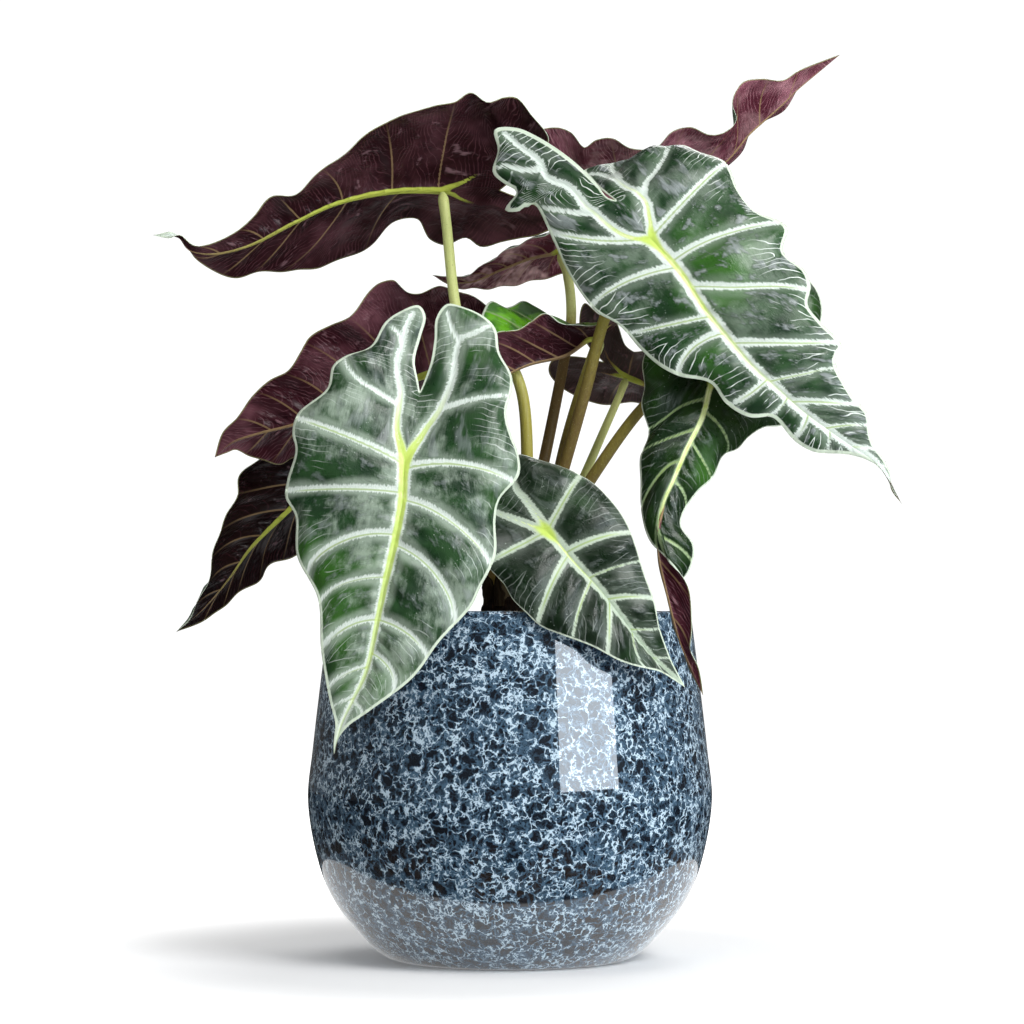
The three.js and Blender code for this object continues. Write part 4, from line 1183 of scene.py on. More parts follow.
def bark_chips(count, edge):
    """Chips strewn over the soil: ellipsoids roughened by noise, each turned and half sunk. Returns
    points, triangles and tones."""
    draw = np.random.default_rng(11)
    ball, ball_faces = small_ball(7, 8)
    parts, triangles, tones = [], [], []
    for chip in range(count):
        radius = edge * 0.95 * math.sqrt(draw.uniform(0.09, 1))
        angle = draw.uniform(0, 2 * np.pi)
        long = draw.uniform(*CHIP_LENGTH)
        size = long * np.array([1, draw.uniform(*CHIP_WIDTH), draw.uniform(*CHIP_HEIGHT)])
        turn = draw.uniform(0, np.pi)
        x, y, z = (ball * size * (1 + 0.25 * lattice_noise(ball * 1.7 + chip, 1, 21)[:, None])).T
        turned_x = math.cos(turn) * x - math.sin(turn) * y
        turned_y = math.sin(turn) * x + math.cos(turn) * y
        middle = polar(radius, angle, 0)
        ground = soil_height(middle[:1], middle[1:2], edge)[0]
        parts.append(np.stack([turned_x, turned_y, z + ground + 0.3 * size[2]], axis=-1) + middle)
        triangles.append(ball_faces + chip * len(ball))
        tones.append(np.full(len(ball), draw.uniform(0.2, 1)))
    return np.concatenate(parts), np.concatenate(triangles), np.concatenate(tones)


def make_soil(settings, material):
    """Crumbly soil up to the pot's wall, with bark chips on it: a turned profile, flat on top, whose
    top is then given its height."""
    wall = wall_points(POT_WALL + CLEARANCE, POT_FLOOR + 3, SOIL_EDGE_HEIGHT, 60)
    edge = np.interp(SOIL_EDGE_HEIGHT, wall[:, 1], wall[:, 0])
    bottom = POT_FLOOR + CLEARANCE
    flat = SOIL_EDGE_HEIGHT + SOIL_MOUND
    radii = np.linspace(1, 0, 90) ** 0.8 * edge
    profile = [(0, bottom), (wall[0][0] - 3, bottom), *wall, *((radius, flat) for radius in radii)]
    points, faces = turned(profile, SOIL_SIDES)
    top = points[:, 2] == flat
    points[top, 2] = soil_height(points[top, 0], points[top, 1], edge)
    chips, chip_faces, chip_tones = bark_chips(settings.chips, edge)
    tone = np.concatenate([np.zeros(len(points)), chip_tones])
    faces = np.concatenate([faces, chip_faces + len(points)])
    points = np.concatenate([points, chips])
    piece = make_piece("soil_crumbly", points, faces, [material], attributes={"tone": tone})
    dress(piece, "soil")


def crown_swell(angle, height):
    """Lumps of noise and the ring scars 0.5 sin(2 pi height / 7.5 + sin 3 angle)."""
    scars = 0.5 * np.sin(2 * np.pi * height / 7.5 + np.sin(3 * angle))
    return 0.9 * lattice_noise(polar(9, angle, height / 9), 1.3, 31) + scars - 0.6


def make_crown(material):
    """The short stem, a turned profile with a rounded lower end, and the dry sheaths on it."""
    root = [(share, CROWN_BOTTOM + height) for share, height in CROWN_ROOT]
    top = [(1, CROWN_SHOULDER), (0.93, CROWN_TOP - 2.5), (0.8, CROWN_TOP), (0, CROWN_TOP)]
    corners = np.array([(0, CROWN_BOTTOM), *root, *top])
    steps = [np.linspace(low, high, 14, endpoint=False) for low, high in zip(corners, corners[1:])]
    outline = np.concatenate([*steps, corners[-1:]]) * (CROWN_RADIUS, 1)
    points, faces = turned(outline, CROWN_SIDES, crown_swell)
    points = points + (CROWN_X, 0, 0)
    sheaths, sheath_faces, tone = sheath_points()
    faces = np.concatenate([faces, sheath_faces + len(points)])
    tone = np.concatenate([np.zeros(len(points)), tone])
    points = np.concatenate([points, sheaths])
    piece = make_piece("crown_fibrous", points, faces, [material], attributes={"tone": tone})
    dress(piece, "crown")


def sheath_points():
    """Dry sheaths round the feet of the stalks: strips over angle a and height b, of half angle
    w (1 - 0.92 b^1.6), that lean out by b^2 and end in a torn tip. Each is closed, with two faces."""
    draw = np.random.default_rng(5)
    a, b = np.meshgrid(np.linspace(-1, 1, 13), np.linspace(0, 1, 25))
    parts, triangles, tones = [], [], []
    start = 0
    for number, leaf in enumerate(LEAVES.values()):
        for layer in range(2):
            facing = math.radians(leaf["angle"]) + draw.uniform(*SHEATH_TURN)
            tall, wide, lean = (draw.uniform(*span) for span in (SHEATH_TALL, SHEATH_WIDE, SHEATH_LEAN))
            angle = facing + a * wide * (1 - 0.92 * b**1.6) * (1 + 0.15 * np.sin(19 * b + number))
            radius = leaf["foot"] + 0.5 + 0.5 * layer + lean * b**2 + 0.25 * np.sin(9 * a + number)
            height = CROWN_TOP - 6 + (tall + 6) * b - 1.2 * a**2 * b
            inner, outer = (polar(radius + more, angle, height) for more in (0, SHEATH_THICKNESS))
            strip = np.concatenate([outer, inner[:, ::-1]], axis=1) + (*socket_place(leaf), 0)
            index = start + np.arange(strip[..., 0].size).reshape(strip.shape[:2])
            front, back = index[:, :13], index[:, :12:-1]
            foot = grid_triangles(np.stack([back[0], front[0]]))
            tip = grid_triangles(np.stack([front[-1], back[-1]]))
            parts.append(strip.reshape(-1, 3))
            triangles += [grid_triangles(joined(index))[:, ::-1], foot, tip]
            tones.append(np.full(index.size, 1.0 if draw.uniform() < 0.2 else draw.uniform(0.1, 0.45)))
            start += index.size
    return np.concatenate(parts), np.concatenate(triangles), np.concatenate(tones)


def glaze_finish(settings):
    """Mottled glaze under a clear glassy coat: a net of pale lines between dark cells. Middling and
    small cells lie in patches and fade over dark round spots, the largest fill the rest, and the dark
    ground turns brown in places towards the foot."""
    shader = Shader("mottled_blue_glaze", 0.4, coat=1.0, coat_roughness=0.02, shine=0.1)
    shader.set("Coat IOR", 1.7)
    place = shader.place()
    warped = shader.shift(place, shader.noise(place, 120, 3, 0.6, output=1), 0.011)
    finer = shader.shift(warped, shader.noise(place, 420, 2, 0.6, output=1), 0.0034)
    patches = shader.noise(place, 30, 2, 0.5)
    others = shader.noise(place, 47, 2, 0.5)
    large = shader.cells(warped, 95).rise(0.1, 0)
    middling = shader.cells(finer, 205).rise(0.22, 0)
    small = shader.cells(finer, 350).rise(0.34, 0)
    net = middling * patches.rise(0.34, 0.5, 0.7, 1.05)
    net = net.most(small * others.rise(0.42, 0.6, 0.35, 0.75))
    net = net * shader.cells(warped, 110, "F1").rise(0.26, 0.46, 0.3, 1.05)
    net = net.most(large * patches.rise(0.6, 0.45, 0.55, 1))
    net = net + shader.noise(warped, 75, 3, 0.65).rise(0.35, 0.7, -0.12, 0.14)
    net = net * shader.noise(place, 330, 2, 0.6).rise(0.3, 0.65, 0.65, 1.1)
    brown = place.axis("Z").rise(0.095, 0.045) * others.rise(0.6, 0.45)
    ground = brown.mix(settings.glaze_dark, settings.glaze_brown)
    colour = net.rise(0.08, 0.8).mix(ground, settings.glaze_blue)
    return shader.finish(net.rise(0.7, 1.02).mix(colour, settings.glaze_pale))


def soil_finish(settings):
    """Dark soil in fine grains, with the chips in the colour of bark."""
    shader = Shader("dark_potting_soil", 0.95)
    grain = shader.noise(shader.place(), 700, 3, 0.7)
    colour = grain.rise(0.35, 0.7).mix(settings.soil_dark, settings.soil_light)
    colour = (shader["tone"] * 0.7).mix(colour, settings.bark)
    return shader.finish(colour, grain, 0.0012)


def crown_finish(settings):
    """Dark fibres that run up the crown, with paler dry sheaths."""
    shader = Shader("dark_fibrous_crown", 0.8, shine=0.1)
    fibres = shader.noise(shader.drawn_up(shader.place(), 0.12), 900, 3, 0.6)
    colour = shader["tone"].mix(settings.crown_dark, settings.sheath_pale)
    colour = fibres.rise(0.4, 0.75).mix(colour, settings.crown_light)
    colour = shader["tone"].rise(0.7, 0.9).mix(colour, settings.sheath_pale)
    return shader.finish(colour, fibres, 0.0009)


def stalk_finish(settings):
    """Brown at the foot, olive above and yellow-green at the top, in streaks that run up the stalk,
    with small brown and pale specks."""
    shader = Shader("streaked_leafstalk", 0.42, shine=0.3)
    place = shader.place()
    streaks = shader.noise(shader.drawn_up(place, 0.07), 900, 2, 0.6)
    tone = shader["tone"] + (streaks * 0.3 - 0.15)
    colour = tone.rise(0.05, 0.5).mix(settings.stalk_brown, settings.stalk_olive)
    colour = tone.rise(0.45, 0.95).mix(colour, settings.stalk_green)
    specks = shader.noise(place, 1500, 1, 0.5)
    colour = specks.rise(0.62, 0.75, 0, 0.35).mix(colour, settings.stalk_brown)
    colour = specks.rise(0.35, 0.25, 0, 0.3).mix(colour, settings.stalk_speck)
    return shader.finish(colour, streaks, 0.0003)


def beside_lateral(shader):
    """Millimetres from the nearest lateral, more than 0 on its side towards the tip."""
    return ((shader["sweep"] + 0.5).fraction() - 0.5) * shader["pitch"]


def line_round_ends(shader, beside, spacing, wobble):
    """Distance in millimetres to lines that run round the outer ends of the laterals: the contours
    h = (n + 1/2) spacing of h = sqrt(x^2 + y^2) + wobble, where x is the distance to the margin over
    ARC_LENGTH and y the distance to the lateral, divided by the slope of h."""
    inward = shader["edge"] / ARC_LENGTH
    size = inward.length_with(beside)
    slope = ((inward / ARC_LENGTH).length_with(beside) / size).most(0.3)
    phase = ((size + wobble) / spacing).fraction()
    return abs(phase - 0.5) * spacing / slope


def blister_field(shader, where):
    """Raised spots in rows between the laterals, from 0 to 1."""
    rows = shader.vector(shader["reach"] * 0.1, shader["sweep"] * 3.4)
    return shader.noise(rows, 1, 3, 0.6).rise(0.45, 0.72) * where


def panel_green(shader, settings, place, grain, blisters):
    """Green in dark, light and fresh patches and almost black green, partly painted shade, under a painted
    grey sheen in clouds and streaks and beside the veins. The blisters get painted shade at their foot
    and a painted greyish highlight."""
    patches = shader.noise(place, 38, 3, 0.6)
    fresh = shader.noise(place, 16, 2, 0.5)
    green = patches.rise(0.35, 0.65).mix(settings.green_dark, settings.green_light)
    green = fresh.rise(0.5, 0.72).mix(green, settings.green_fresh)
    # Almost black green: partly a leaf's own dark green, partly painted shade on leaves that hang in the
    # shade of others
    green = (fresh.rise(0.66, 0.5, 0.35, 1) * shader["deep_shade"]).mix(green, settings.green_deep_shade)
    young = patches.rise(0.42, 0.55).mix(settings.green_fresh, settings.green_young)
    green = shader["young"].mix(green, young)
    # Streaks, clouds and the places beside the veins mask a painted grey sheen
    streaks = shader.noise(shader.vector(shader["reach"], shader["sweep"] * 11), 0.35, 4, 0.7)
    streaks = streaks * 0.5 + shader.noise(place, 115, 4, 0.65) * 0.5
    clouds = (streaks * 0.6 + shader.noise(place, 30, 3, 0.55)).rise(0.76, 0.98) * 0.85
    near = streaks * 4 + shader["band"] - shader.noise(place, 32, 1, 0.5) * 9
    mist = clouds.most(near.rise(2.5, -2.5, 0, 0.8)) * shader["painted_sheen"]
    green = mist.mix(green, settings.green_painted_sheen)
    # Painted shade at the foot of each blister, in the almost black green
    foot = blisters.rise(0.1, 0.45) * (shader["shine"] * 0.3)
    green = foot.mix(green, settings.green_deep_shade)
    # Painted greyish highlights on the blisters
    spots = (grain * 0.4 + blisters).rise(0.4, 1.15, 0, 0.75) * shader["shine"]
    return spots.mix(green, settings.green_painted_shine)


def threads_and_dots(shader, settings, place, side_line, open_panel, colour):
    """Thin pale lines round the ends of the laterals, broken and near the margin, and pale dots."""
    wobble = shader.noise(place, 55, 2, 0.6) * 6
    thread = line_round_ends(shader, side_line, settings.thread_spacing, wobble).rise(0.34, 0.1)
    some = shader.noise(place, 60, 1, 0.5).rise(0.43, 0.53)
    thread = thread * some * (shader["edge"].rise(26, 8) * shader["threads"]) * open_panel
    colour = thread.mix(colour, settings.vein_pale)
    dots = shader.cells(place, 430, "F1").rise(0.17, 0.1)
    dots = dots * shader.noise(place, 90, 1, 0.5).rise(0.54, 0.64, 0, 0.4)
    return dots.mix(colour, settings.vein_shade)


def yellow_heart(shader, settings, barbs, colour):
    """The yellow-green heart of the midrib and costae, in paler strings, and the spot at the join."""
    rib, painted_sheen, out = shader["rib"], shader["painted_sheen"], shader["out"]
    half = shader["heart"] * (shader["rib_share"] * -0.7 + 1) * out.rise(0.02, 0.1, 1, 0.6)
    heart = (barbs * 0.5 + rib / half).rise(1.6, 0.9)
    strings = shader.noise(shader.vector(shader["along"] * 0.05, rib), 3, 2, 0.6) - painted_sheen * 0.2
    yellow = strings.rise(0.3, 0.6).mix(settings.heart, settings.heart_pale)
    colour = (heart * shader["glow"]).mix(colour, yellow)
    hub = (shader["join"] + rib * 1.5).rise(12, 5)
    return hub.mix(colour, settings.heart)


def upper_finish(settings):
    """The upper side of a blade: green panels with threads and dots, then pale bands over the veins,
    each with a thin core, the yellow heart and the pale margin. The bands end where distance to band
    edge plus feathering noise passes zero, with the noise drawn out across the vein."""
    shader = Shader("green_upper_side", 0.3, coat=0.12, coat_roughness=0.15, shine=0.3)
    place = shader.place()
    band, edge, sweep, reach = (shader[key] for key in ("band", "edge", "sweep", "reach"))
    lateral_barbs = shader.noise(shader.vector(reach, sweep * 4), 0.9, 3, 0.75)
    rib_barbs = shader.noise(shader.vector(shader["along"], shader["out"] * 12), 0.9, 3, 0.75)
    barbs = (shader["rib"] - shader["vein"]).rise(0, 0.6).mix(rib_barbs, lateral_barbs)
    dull = shader["dull"].most(shader["young"])
    feather = (barbs * settings.feather - 0.5 * settings.feather) * (dull * -0.7 + 1)
    pale = (band + feather).rise(0.5, -0.5)
    open_panel = band.rise(0.3, 2)
    grain = shader.noise(shader.vector(reach, sweep * 9), 1.6, 3, 0.7)
    blisters = blister_field(shader, open_panel)
    tipward = beside_lateral(shader)
    colour = panel_green(shader, settings, place, grain, blisters)
    colour = threads_and_dots(shader, settings, place, abs(tipward), open_panel, colour)
    frost = grain.rise(0.3, 0.65).mix(settings.vein_shade, settings.vein_pale)
    colour = pale.mix(colour, dull.mix(frost, settings.vein_dull))
    # The thin core of a lateral lies towards the tip by the leaf's bloom value, in millimetres
    core = abs(tipward - shader["painted_sheen"]).rise(0.75, 0.3)
    core = core * (band.rise(0.2, -0.8) * edge.rise(3, 14)) * 0.7
    colour = core.mix(colour, settings.vein_core)
    colour = yellow_heart(shader, settings, barbs, colour)
    rim_width = shader["rim"] * shader["join"].rise(28, 70, 0.3, 1)
    rim = (barbs * 0.9 + edge - rim_width).rise(0.9, 0.2)
    colour = rim.mix(colour, settings.margin)
    shader.set("Roughness", shader.noise(place, 130, 3, 0.6).rise(0.3, 0.7, 0.24, 0.42))
    fine = shader.noise(place, 1300, 2, 0.6)
    height = grain * open_panel * 0.16 + blisters * 0.4 + fine * 0.05 + pale * -0.12
    return shader.finish(colour, height)


def under_rib(shader, settings, colour):
    """The midrib below, green near the join and tan beyond, with short green costae."""
    join, out, share = shader["join"], shader["out"], shader["rib_share"]
    green_share = (join / shader["rib_reach"]).rise(1.5, 0.6)
    half = (share * -1.8 + 2.4) * (green_share * 0.45 + 0.55) * out.rise(0.04, 0.14, 1, 0.65)
    beyond = out.rise(0.06, 0.12) * join.rise(14, 25)
    rib = (shader["rib"] / half).rise(1.05, 0.75) * (share.rise(1, 0.8) - beyond)
    return rib.mix(colour, green_share.mix(settings.under_vein, settings.under_rib))


def under_finish(settings):
    """The underside of a blade: dark or pink purple whose pink patches are partly painted sheen, with
    greyness, a painted pinkish white gleam and painted highlights on the blisters, fine paler lines that
    run round the laterals' ends, thin tan laterals, the rib and the margin."""
    shader = Shader("purple_underside", 0.3, coat=0.08, coat_roughness=0.12, shine=0.12)
    place = shader.place()
    blush = shader["blush"]
    patches = shader.noise(place, 26, 3, 0.6)
    dark = patches.rise(0.3, 0.7).mix(settings.purple_dark, settings.purple_warm)
    # Lighter patches, their palest pink partly the underside's own colour and partly a painted sheen
    light = patches.rise(0.42, 0.68).mix(settings.purple_light, settings.purple_pink_and_sheen)
    purple = shader["grey"].mix(blush.mix(dark, light), settings.under_grey)
    # Painted pinkish white gleam in patches
    gleam = shader.noise(place, 48, 3, 0.65).rise(0.46, 0.64) * shader["gleam"]
    purple = gleam.mix(purple, settings.under_painted_gleam)
    side_line = abs(beside_lateral(shader))
    blisters = blister_field(shader, side_line.rise(1, 4))
    # Painted highlights on the blisters: the shine colour on dark undersides, the pink line colour on lighter
    # ones
    spots = (shader.noise(place, 260, 2, 0.6) * 0.2 + blisters).rise(0.7, 1.15, 0, 0.55)
    purple = spots.mix(purple, blush.mix(settings.under_painted_shine, settings.pink_line_and_shine))
    wobble = shader.noise(place, 70, 2, 0.6) * 5
    line = line_round_ends(shader, side_line, settings.line_spacing, wobble).rise(0.38, 0.1)
    line = line * shader.noise(place, 120, 2, 0.6).rise(0.35, 0.6, 0.05, 0.5)
    colour = line.mix(purple, blush.mix(settings.purple_line, settings.pink_line_and_shine))
    tan = side_line.rise(0.7, 0.3) * shader["out"].rise(1, 0.4, 0.1, 0.65)
    colour = under_rib(shader, settings, tan.mix(colour, settings.under_vein))
    colour = (shader["edge"].rise(1, 0.5) * 0.7).mix(colour, settings.under_margin)
    fine = shader.noise(place, 1300, 2, 0.6)
    return shader.finish(colour, line * 0.12 + blisters * 0.8 + fine * 0.05)


def tint(name, description, *colour):
    settings = {"name": name, "description": description, "default": colour}
    return FloatVectorProperty(size=3, subtype="COLOR", min=0, max=1, **settings)


def amount(name, description, default, **limits):
    return FloatProperty(name=name, description=description, default=default, **{"min": 0, **limits})


def length(name, description, default, **limits):
    return FloatProperty(name=name, description=description, default=default, unit="LENGTH", **limits)


class PotSettings(bpy.types.PropertyGroup):
    glaze_dark: tint("Dark glaze", "Ground of the glaze", 0.004, 0.008, 0.015)
    glaze_brown: tint("Brown glaze", "Ground towards the foot", 0.020, 0.014, 0.011)
    glaze_blue: tint("Blue mist", "Mist between close lines", 0.066, 0.13, 0.20)
    glaze_pale: tint("Pale lines", "Crackled lines", 0.56, 0.70, 0.80)


class EarthSettings(bpy.types.PropertyGroup):
    chips: IntProperty(name="Bark chips", description="Loose chips on the soil", default=170, min=1, max=400)
    soil_dark: tint("Dark soil", "Hollows of the soil", 0.008, 0.005, 0.003)
    soil_light: tint("Light soil", "Crumbs of the soil", 0.05, 0.032, 0.02)
    bark: tint("Bark", "Chips on the soil", 0.12, 0.065, 0.035)
    crown_dark: tint("Dark crown", "Body of the crown", 0.004, 0.002, 0.001)
    crown_light: tint("Fibres", "Fibres of the crown", 0.020, 0.009, 0.004)
    sheath_pale: tint("Dry sheath", "Palest dry sheaths", 0.09, 0.070, 0.035)


class StalkSettings(bpy.types.PropertyGroup):
    flutes: amount("Flutes", "Depth of the flutes as a share of the radius", 0.012, max=0.1)
    stalk_brown: tint("Foot", "Brown of the foot", 0.155, 0.10, 0.034)
    stalk_olive: tint("Middle", "Olive of the middle", 0.33, 0.29, 0.05)
    stalk_green: tint("Top", "Yellow-green of the top", 0.70, 0.76, 0.28)
    stalk_speck: tint("Specks", "Small pale specks", 0.6, 0.6, 0.35)


class BladeSettings(bpy.types.PropertyGroup):
    thickness: length("Thickness", "Thickness of a blade between its veins", 0.0009, min=0.0002)
    quilt: length("Quilting", "Rise of the panels between the veins", 0.0026, min=0)
    blister: length("Blisters", "Small rises beside the midrib", 0.0010, min=0)
    feather: amount("Feathering", "How far the pale bands fray, in millimetres", 5)
    thread_spacing: amount("Thread spacing", "Millimetres between thin lines on the upper side", 3.6, min=0.5)
    line_spacing: amount("Line spacing", "Millimetres between fine lines on the underside", 1.8, min=0.5)
    green_dark: tint("Dark green", "Upper side", 0.011, 0.036, 0.014)
    green_light: tint("Green", "Upper side, lighter patches", 0.027, 0.082, 0.024)
    # Almost black green, partly painted shade, also used for the painted shade at the feet of the blisters
    green_deep_shade: tint("Deep green", "Almost black green of shaded leaves", 0.005, 0.016, 0.005)
    green_fresh: tint("Fresh green", "Brighter patches of the upper side", 0.040, 0.14, 0.014)
    green_young: tint("Young green", "Upper side of a young leaf", 0.13, 0.40, 0.012)
    # Painted highlight on the blisters
    green_painted_shine: tint("Shine", "Shine on the blisters", 0.28, 0.31, 0.31)
    # Painted grey sheen in the panels
    green_painted_sheen: tint("Grey green", "Dull bloom in the panels", 0.35, 0.43, 0.34)
    vein_pale: tint("Veins", "Pale bands over the veins", 0.74, 0.80, 0.74)
    vein_shade: tint("Vein shade", "Duller grain of the pale bands", 0.55, 0.64, 0.55)
    vein_core: tint("Vein lines", "Thin line in the middle of a vein", 0.30, 0.42, 0.11)
    vein_dull: tint("Dull veins", "Veins of dull and of young leaves", 0.22, 0.32, 0.13)
    heart: tint("Heart", "Yellow-green of the midrib at the join", 0.54, 0.70, 0.13)
    heart_pale: tint("Pale heart", "Pale strings in the heart of the midrib", 0.80, 0.88, 0.46)
    margin: tint("Margin", "Pale line along the edge", 0.66, 0.75, 0.60)
    purple_dark: tint("Dark purple", "Underside", 0.005, 0.002, 0.002)
    purple_warm: tint("Warm brown", "Underside, warmer dark patches", 0.014, 0.004, 0.004)
    purple_light: tint("Purple", "Underside, lighter patches", 0.080, 0.015, 0.026)
    # Palest patches of the underside, partly its own pink and partly a painted sheen
    purple_pink_and_sheen: tint("Pink", "Underside, palest patches", 0.36, 0.14, 0.18)
    purple_line: tint("Underside lines", "Fine lines of the underside", 0.060, 0.018, 0.024)
    # Also the painted highlight on the blisters of the lighter undersides
    pink_line_and_shine: tint("Pink lines", "Fine lines of the lighter undersides", 0.42, 0.20, 0.23)
    # Painted highlight on the blisters of dark undersides
    under_painted_shine: tint("Shine below", "Shine on the blisters of dark undersides", 0.26, 0.16, 0.18)
    # Painted pinkish white gleam of the lighter undersides
    under_painted_gleam: tint("Gleam below", "Pinkish white gleam of the lighter undersides", 0.60, 0.38, 0.38)
    under_grey: tint("Grey brown", "Underside of dull leaves", 0.075, 0.058, 0.056)
    under_vein: tint("Underside veins", "Thin veins below", 0.30, 0.20, 0.10)
    under_rib: tint("Underside rib", "Midrib below", 0.46, 0.52, 0.08)
    under_margin: tint("Underside edge", "Edge of the underside", 0.26, 0.24, 0.10)


class StageSettings(bpy.types.PropertyGroup):
    distance: length("Distance", "Camera distance from the pot's axis", 1.8, min=0.5)
    height: length("Height", "Camera height, level with the pot's rim", 0.204)
    shift_x: length("Aside", "Camera place beside the pot's axis", 0.0012)
    pitch: FloatProperty(
        name="Pitch", description="How far the camera looks up", default=PITCH, unit="ROTATION")
    lens: amount("Lens", "Focal length on a 36 mm sensor, in millimetres", 106.5, min=10)
    room_front: amount("Room in front", "Light of the room in front", 0.1)
    room_back: amount("Room behind", "Light of the white wall behind", 0.5)
    room_mirror: amount("Mirrored room", "Light of the room in reflections", 0.09)
    paper_glow: amount("Paper glow", "Glow of the paper beside the pot", 0.12)
    paper_mirror: amount("Mirrored paper", "Glow of the paper in reflections", 0.42)
    lit_centre: length("Lit place", "Middle of the lit floor behind the pot's axis", 0.13)
    lit_radius: length("Lit radius", "Radius of the lit floor in reflections", 0.265)


class ALOCASIA_OT_pot(bpy.types.Operator):
    """Make the glazed pot"""
    bl_idname = "alocasia.pot"
    bl_label = "Pot"

    def execute(self, context):
        make_pot(glaze_finish(context.scene.alocasia_pot))
        return {"FINISHED"}


class ALOCASIA_OT_soil(bpy.types.Operator):
    """Make the crumbly soil with its bark chips"""
    bl_idname = "alocasia.soil"
    bl_label = "Soil"

    def execute(self, context):
        settings = context.scene.alocasia_earth
        make_soil(settings, soil_finish(settings))
        return {"FINISHED"}


class ALOCASIA_OT_crown(bpy.types.Operator):
    """Make the crown with the dry sheaths round the stalks"""
    bl_idname = "alocasia.crown"
    bl_label = "Crown"

    def execute(self, context):
        make_crown(crown_finish(context.scene.alocasia_earth))
        return {"FINISHED"}


class ALOCASIA_OT_leafstalks(bpy.types.Operator):
    """Make the eleven leafstalks"""
    bl_idname = "alocasia.leafstalks"
    bl_label = "Leafstalks"

    def execute(self, context):
        settings = context.scene.alocasia_stalks
        material = stalk_finish(settings)
        for name, leaf in LEAVES.items():
            make_stalk(name, leaf, settings, material)
        return {"FINISHED"}


class ALOCASIA_OT_blades(bpy.types.Operator):
    """Make the eleven blades with their veins"""
    bl_idname = "alocasia.blades"
    bl_label = "Blades"

    def execute(self, context):
        settings = context.scene.alocasia_blades
        materials = [upper_finish(settings), under_finish(settings)]
        for name, leaf in LEAVES.items():
            make_blade(name, leaf, settings, materials)
        return {"FINISHED"}


def softbox(name, place, target, width, height, power, colour):
    """A soft rectangular light that faces its target."""
    light = bpy.data.lights.new(name, "AREA")
    light.shape = "RECTANGLE"
    light.size, light.size_y, light.energy = width, height, power
    light.color = colour
    lamp = bpy.data.objects.new(name, light)
    lamp.location = place
    lamp.rotation_euler = (Vector(target) - Vector(place)).to_track_quat("-Z", "Y").to_euler()
    bpy.context.scene.collection.objects.link(lamp)


def white_room(settings):
    """The camera sees pure white. The plant is lit by a room that is dim in front and white behind,
    and mirrors only a dim grey."""
    world = bpy.data.worlds.new("white_room")
    bpy.context.scene.world = world
    world.use_nodes = True
    tree = world.node_tree
    depth = wire(tree, "TexCoord", {}, "Generated").axis("Y")
    mirrored = wire(tree, "LightPath", {}, "Is Glossy Ray")
    seen = wire(tree, "LightPath", {}, "Is Camera Ray")
    front, back = settings.room_front, settings.room_back
    light = wire(tree, "MapRange", {0: depth, 1: -0.5, 2: 0.45, 3: front, 4: back})
    light = wire(tree, "MapRange", {0: mirrored, 3: light, 4: settings.room_mirror})
    light = wire(tree, "MapRange", {0: seen, 3: light, 4: 1.1})
    background = tree.nodes["Background"]
    put(background.inputs["Color"], (1, 1, 1))
    put(background.inputs["Strength"], light)


def floor_finish(settings):
    """White paper that glows a little to the camera, more away from the pot. Reflections show only a
    round lit place under and behind the pot, and dark beyond it."""
    shader = Shader("pale_floor", 0.9, shine=0.0)
    shader.set("Base Color", (0.85, 0.85, 0.85))
    shader.set("Emission Color", (1, 1, 1))
    place = shader.place()
    x, y = place.axis("X"), place.axis("Y")
    mirrored = shader.ray("Is Glossy Ray")
    glow = x.length_with(y).rise(0.16, 0.4, settings.paper_glow, 1) * shader.ray("Is Camera Ray")
    shader.set("Emission Strength", mirrored * settings.paper_mirror + glow)
    far = x.length_with(y - settings.lit_centre)
    beyond = far.rise(settings.lit_radius, settings.lit_radius + 0.004)
    paper = Value(shader.tree, shader.surface.outputs[0])
    dark = wire(shader.tree, "BsdfDiffuse", {"Color": (0.02, 0.02, 0.022)})
    mix = wire(shader.tree, "MixShader", {0: beyond * mirrored, 1: paper, 2: dark})
    put(shader.tree.nodes["Material Output"].inputs["Surface"], mix)
    return shader.material


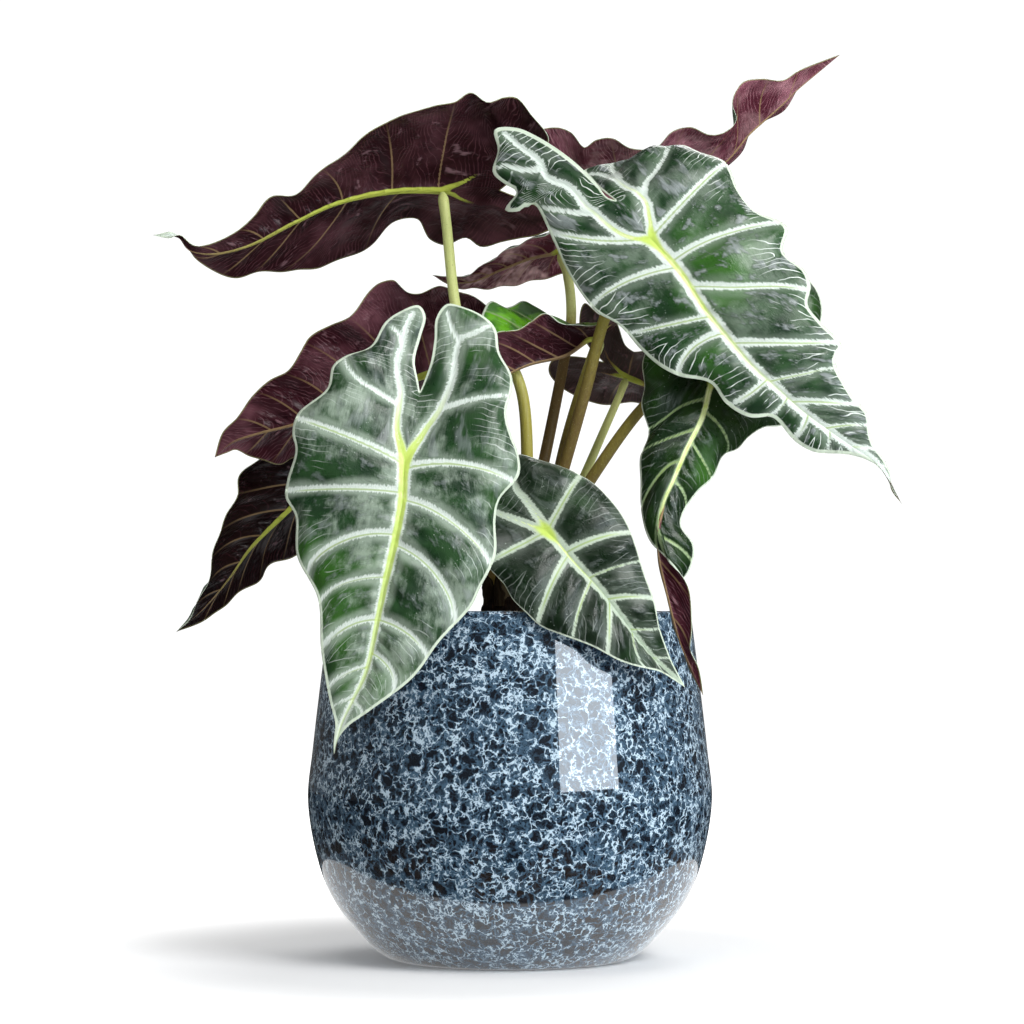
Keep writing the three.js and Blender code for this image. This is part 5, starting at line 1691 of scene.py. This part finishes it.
class ALOCASIA_OT_stage(bpy.types.Operator):
    """Set the pale floor, the lights and the camera at the photograph's angle"""
    bl_idname = "alocasia.stage"
    bl_label = "Stage"

    def execute(self, context):
        settings = context.scene.alocasia_stage
        white_room(settings)
        ring = polar(FLOOR_RADIUS, round_angles(FLOOR_SIDES), FLOOR_HEIGHT)
        points = np.concatenate([[(0, 0, FLOOR_HEIGHT)], ring])
        index = joined(np.arange(FLOOR_SIDES)[None] + 1)
        faces = grid_triangles(np.concatenate([index * 0, index]))
        make_piece("floor", points, faces, [floor_finish(settings)])
        for name, light in LIGHTS.items():
            softbox(name, *light)
        camera = bpy.data.objects.new("camera", bpy.data.cameras.new("camera"))
        camera.data.sensor_width = 36
        camera.data.lens = settings.lens
        camera.location = (settings.shift_x, -settings.distance, settings.height)
        camera.rotation_euler = (math.pi / 2 + settings.pitch, 0, 0)
        context.scene.collection.objects.link(camera)
        context.scene.camera = camera
        context.scene.view_settings.view_transform = "Standard"
        return {"FINISHED"}


class ALOCASIA_PT_panel(bpy.types.Panel):
    """Sizes, colours and pieces of the plant"""
    bl_idname = "ALOCASIA_PT_panel"
    bl_label = "Potted Alocasia"
    bl_space_type = "VIEW_3D"
    bl_region_type = "UI"
    bl_category = "Alocasia"

    def draw(self, context):
        for key, (group, operators) in GROUPS.items():
            box = self.layout.box()
            for setting in group.__annotations__:
                box.prop(getattr(context.scene, key), setting)
            for operator in operators:
                box.operator(operator.bl_idname)


# The settings of each kind of piece, with the operators that read them
GROUPS = {
    "alocasia_pot": (PotSettings, [ALOCASIA_OT_pot]),
    "alocasia_earth": (EarthSettings, [ALOCASIA_OT_soil, ALOCASIA_OT_crown]),
    "alocasia_stalks": (StalkSettings, [ALOCASIA_OT_leafstalks]),
    "alocasia_blades": (BladeSettings, [ALOCASIA_OT_blades]),
    "alocasia_stage": (StageSettings, [ALOCASIA_OT_stage]),
}


def register():
    for key, (group, operators) in GROUPS.items():
        for part in (group, *operators):
            bpy.utils.register_class(part)
        setattr(bpy.types.Scene, key, PointerProperty(type=group))
    bpy.utils.register_class(ALOCASIA_PT_panel)


def unregister():
    bpy.utils.unregister_class(ALOCASIA_PT_panel)
    for key, (group, operators) in GROUPS.items():
        delattr(bpy.types.Scene, key)
        for part in (group, *operators):
            bpy.utils.unregister_class(part)


def main():
    register()
    bpy.ops.alocasia.pot()
    bpy.ops.alocasia.soil()
    bpy.ops.alocasia.crown()
    bpy.ops.alocasia.leafstalks()
    bpy.ops.alocasia.blades()
    bpy.ops.alocasia.stage()


if __name__ == "__main__":
    main()
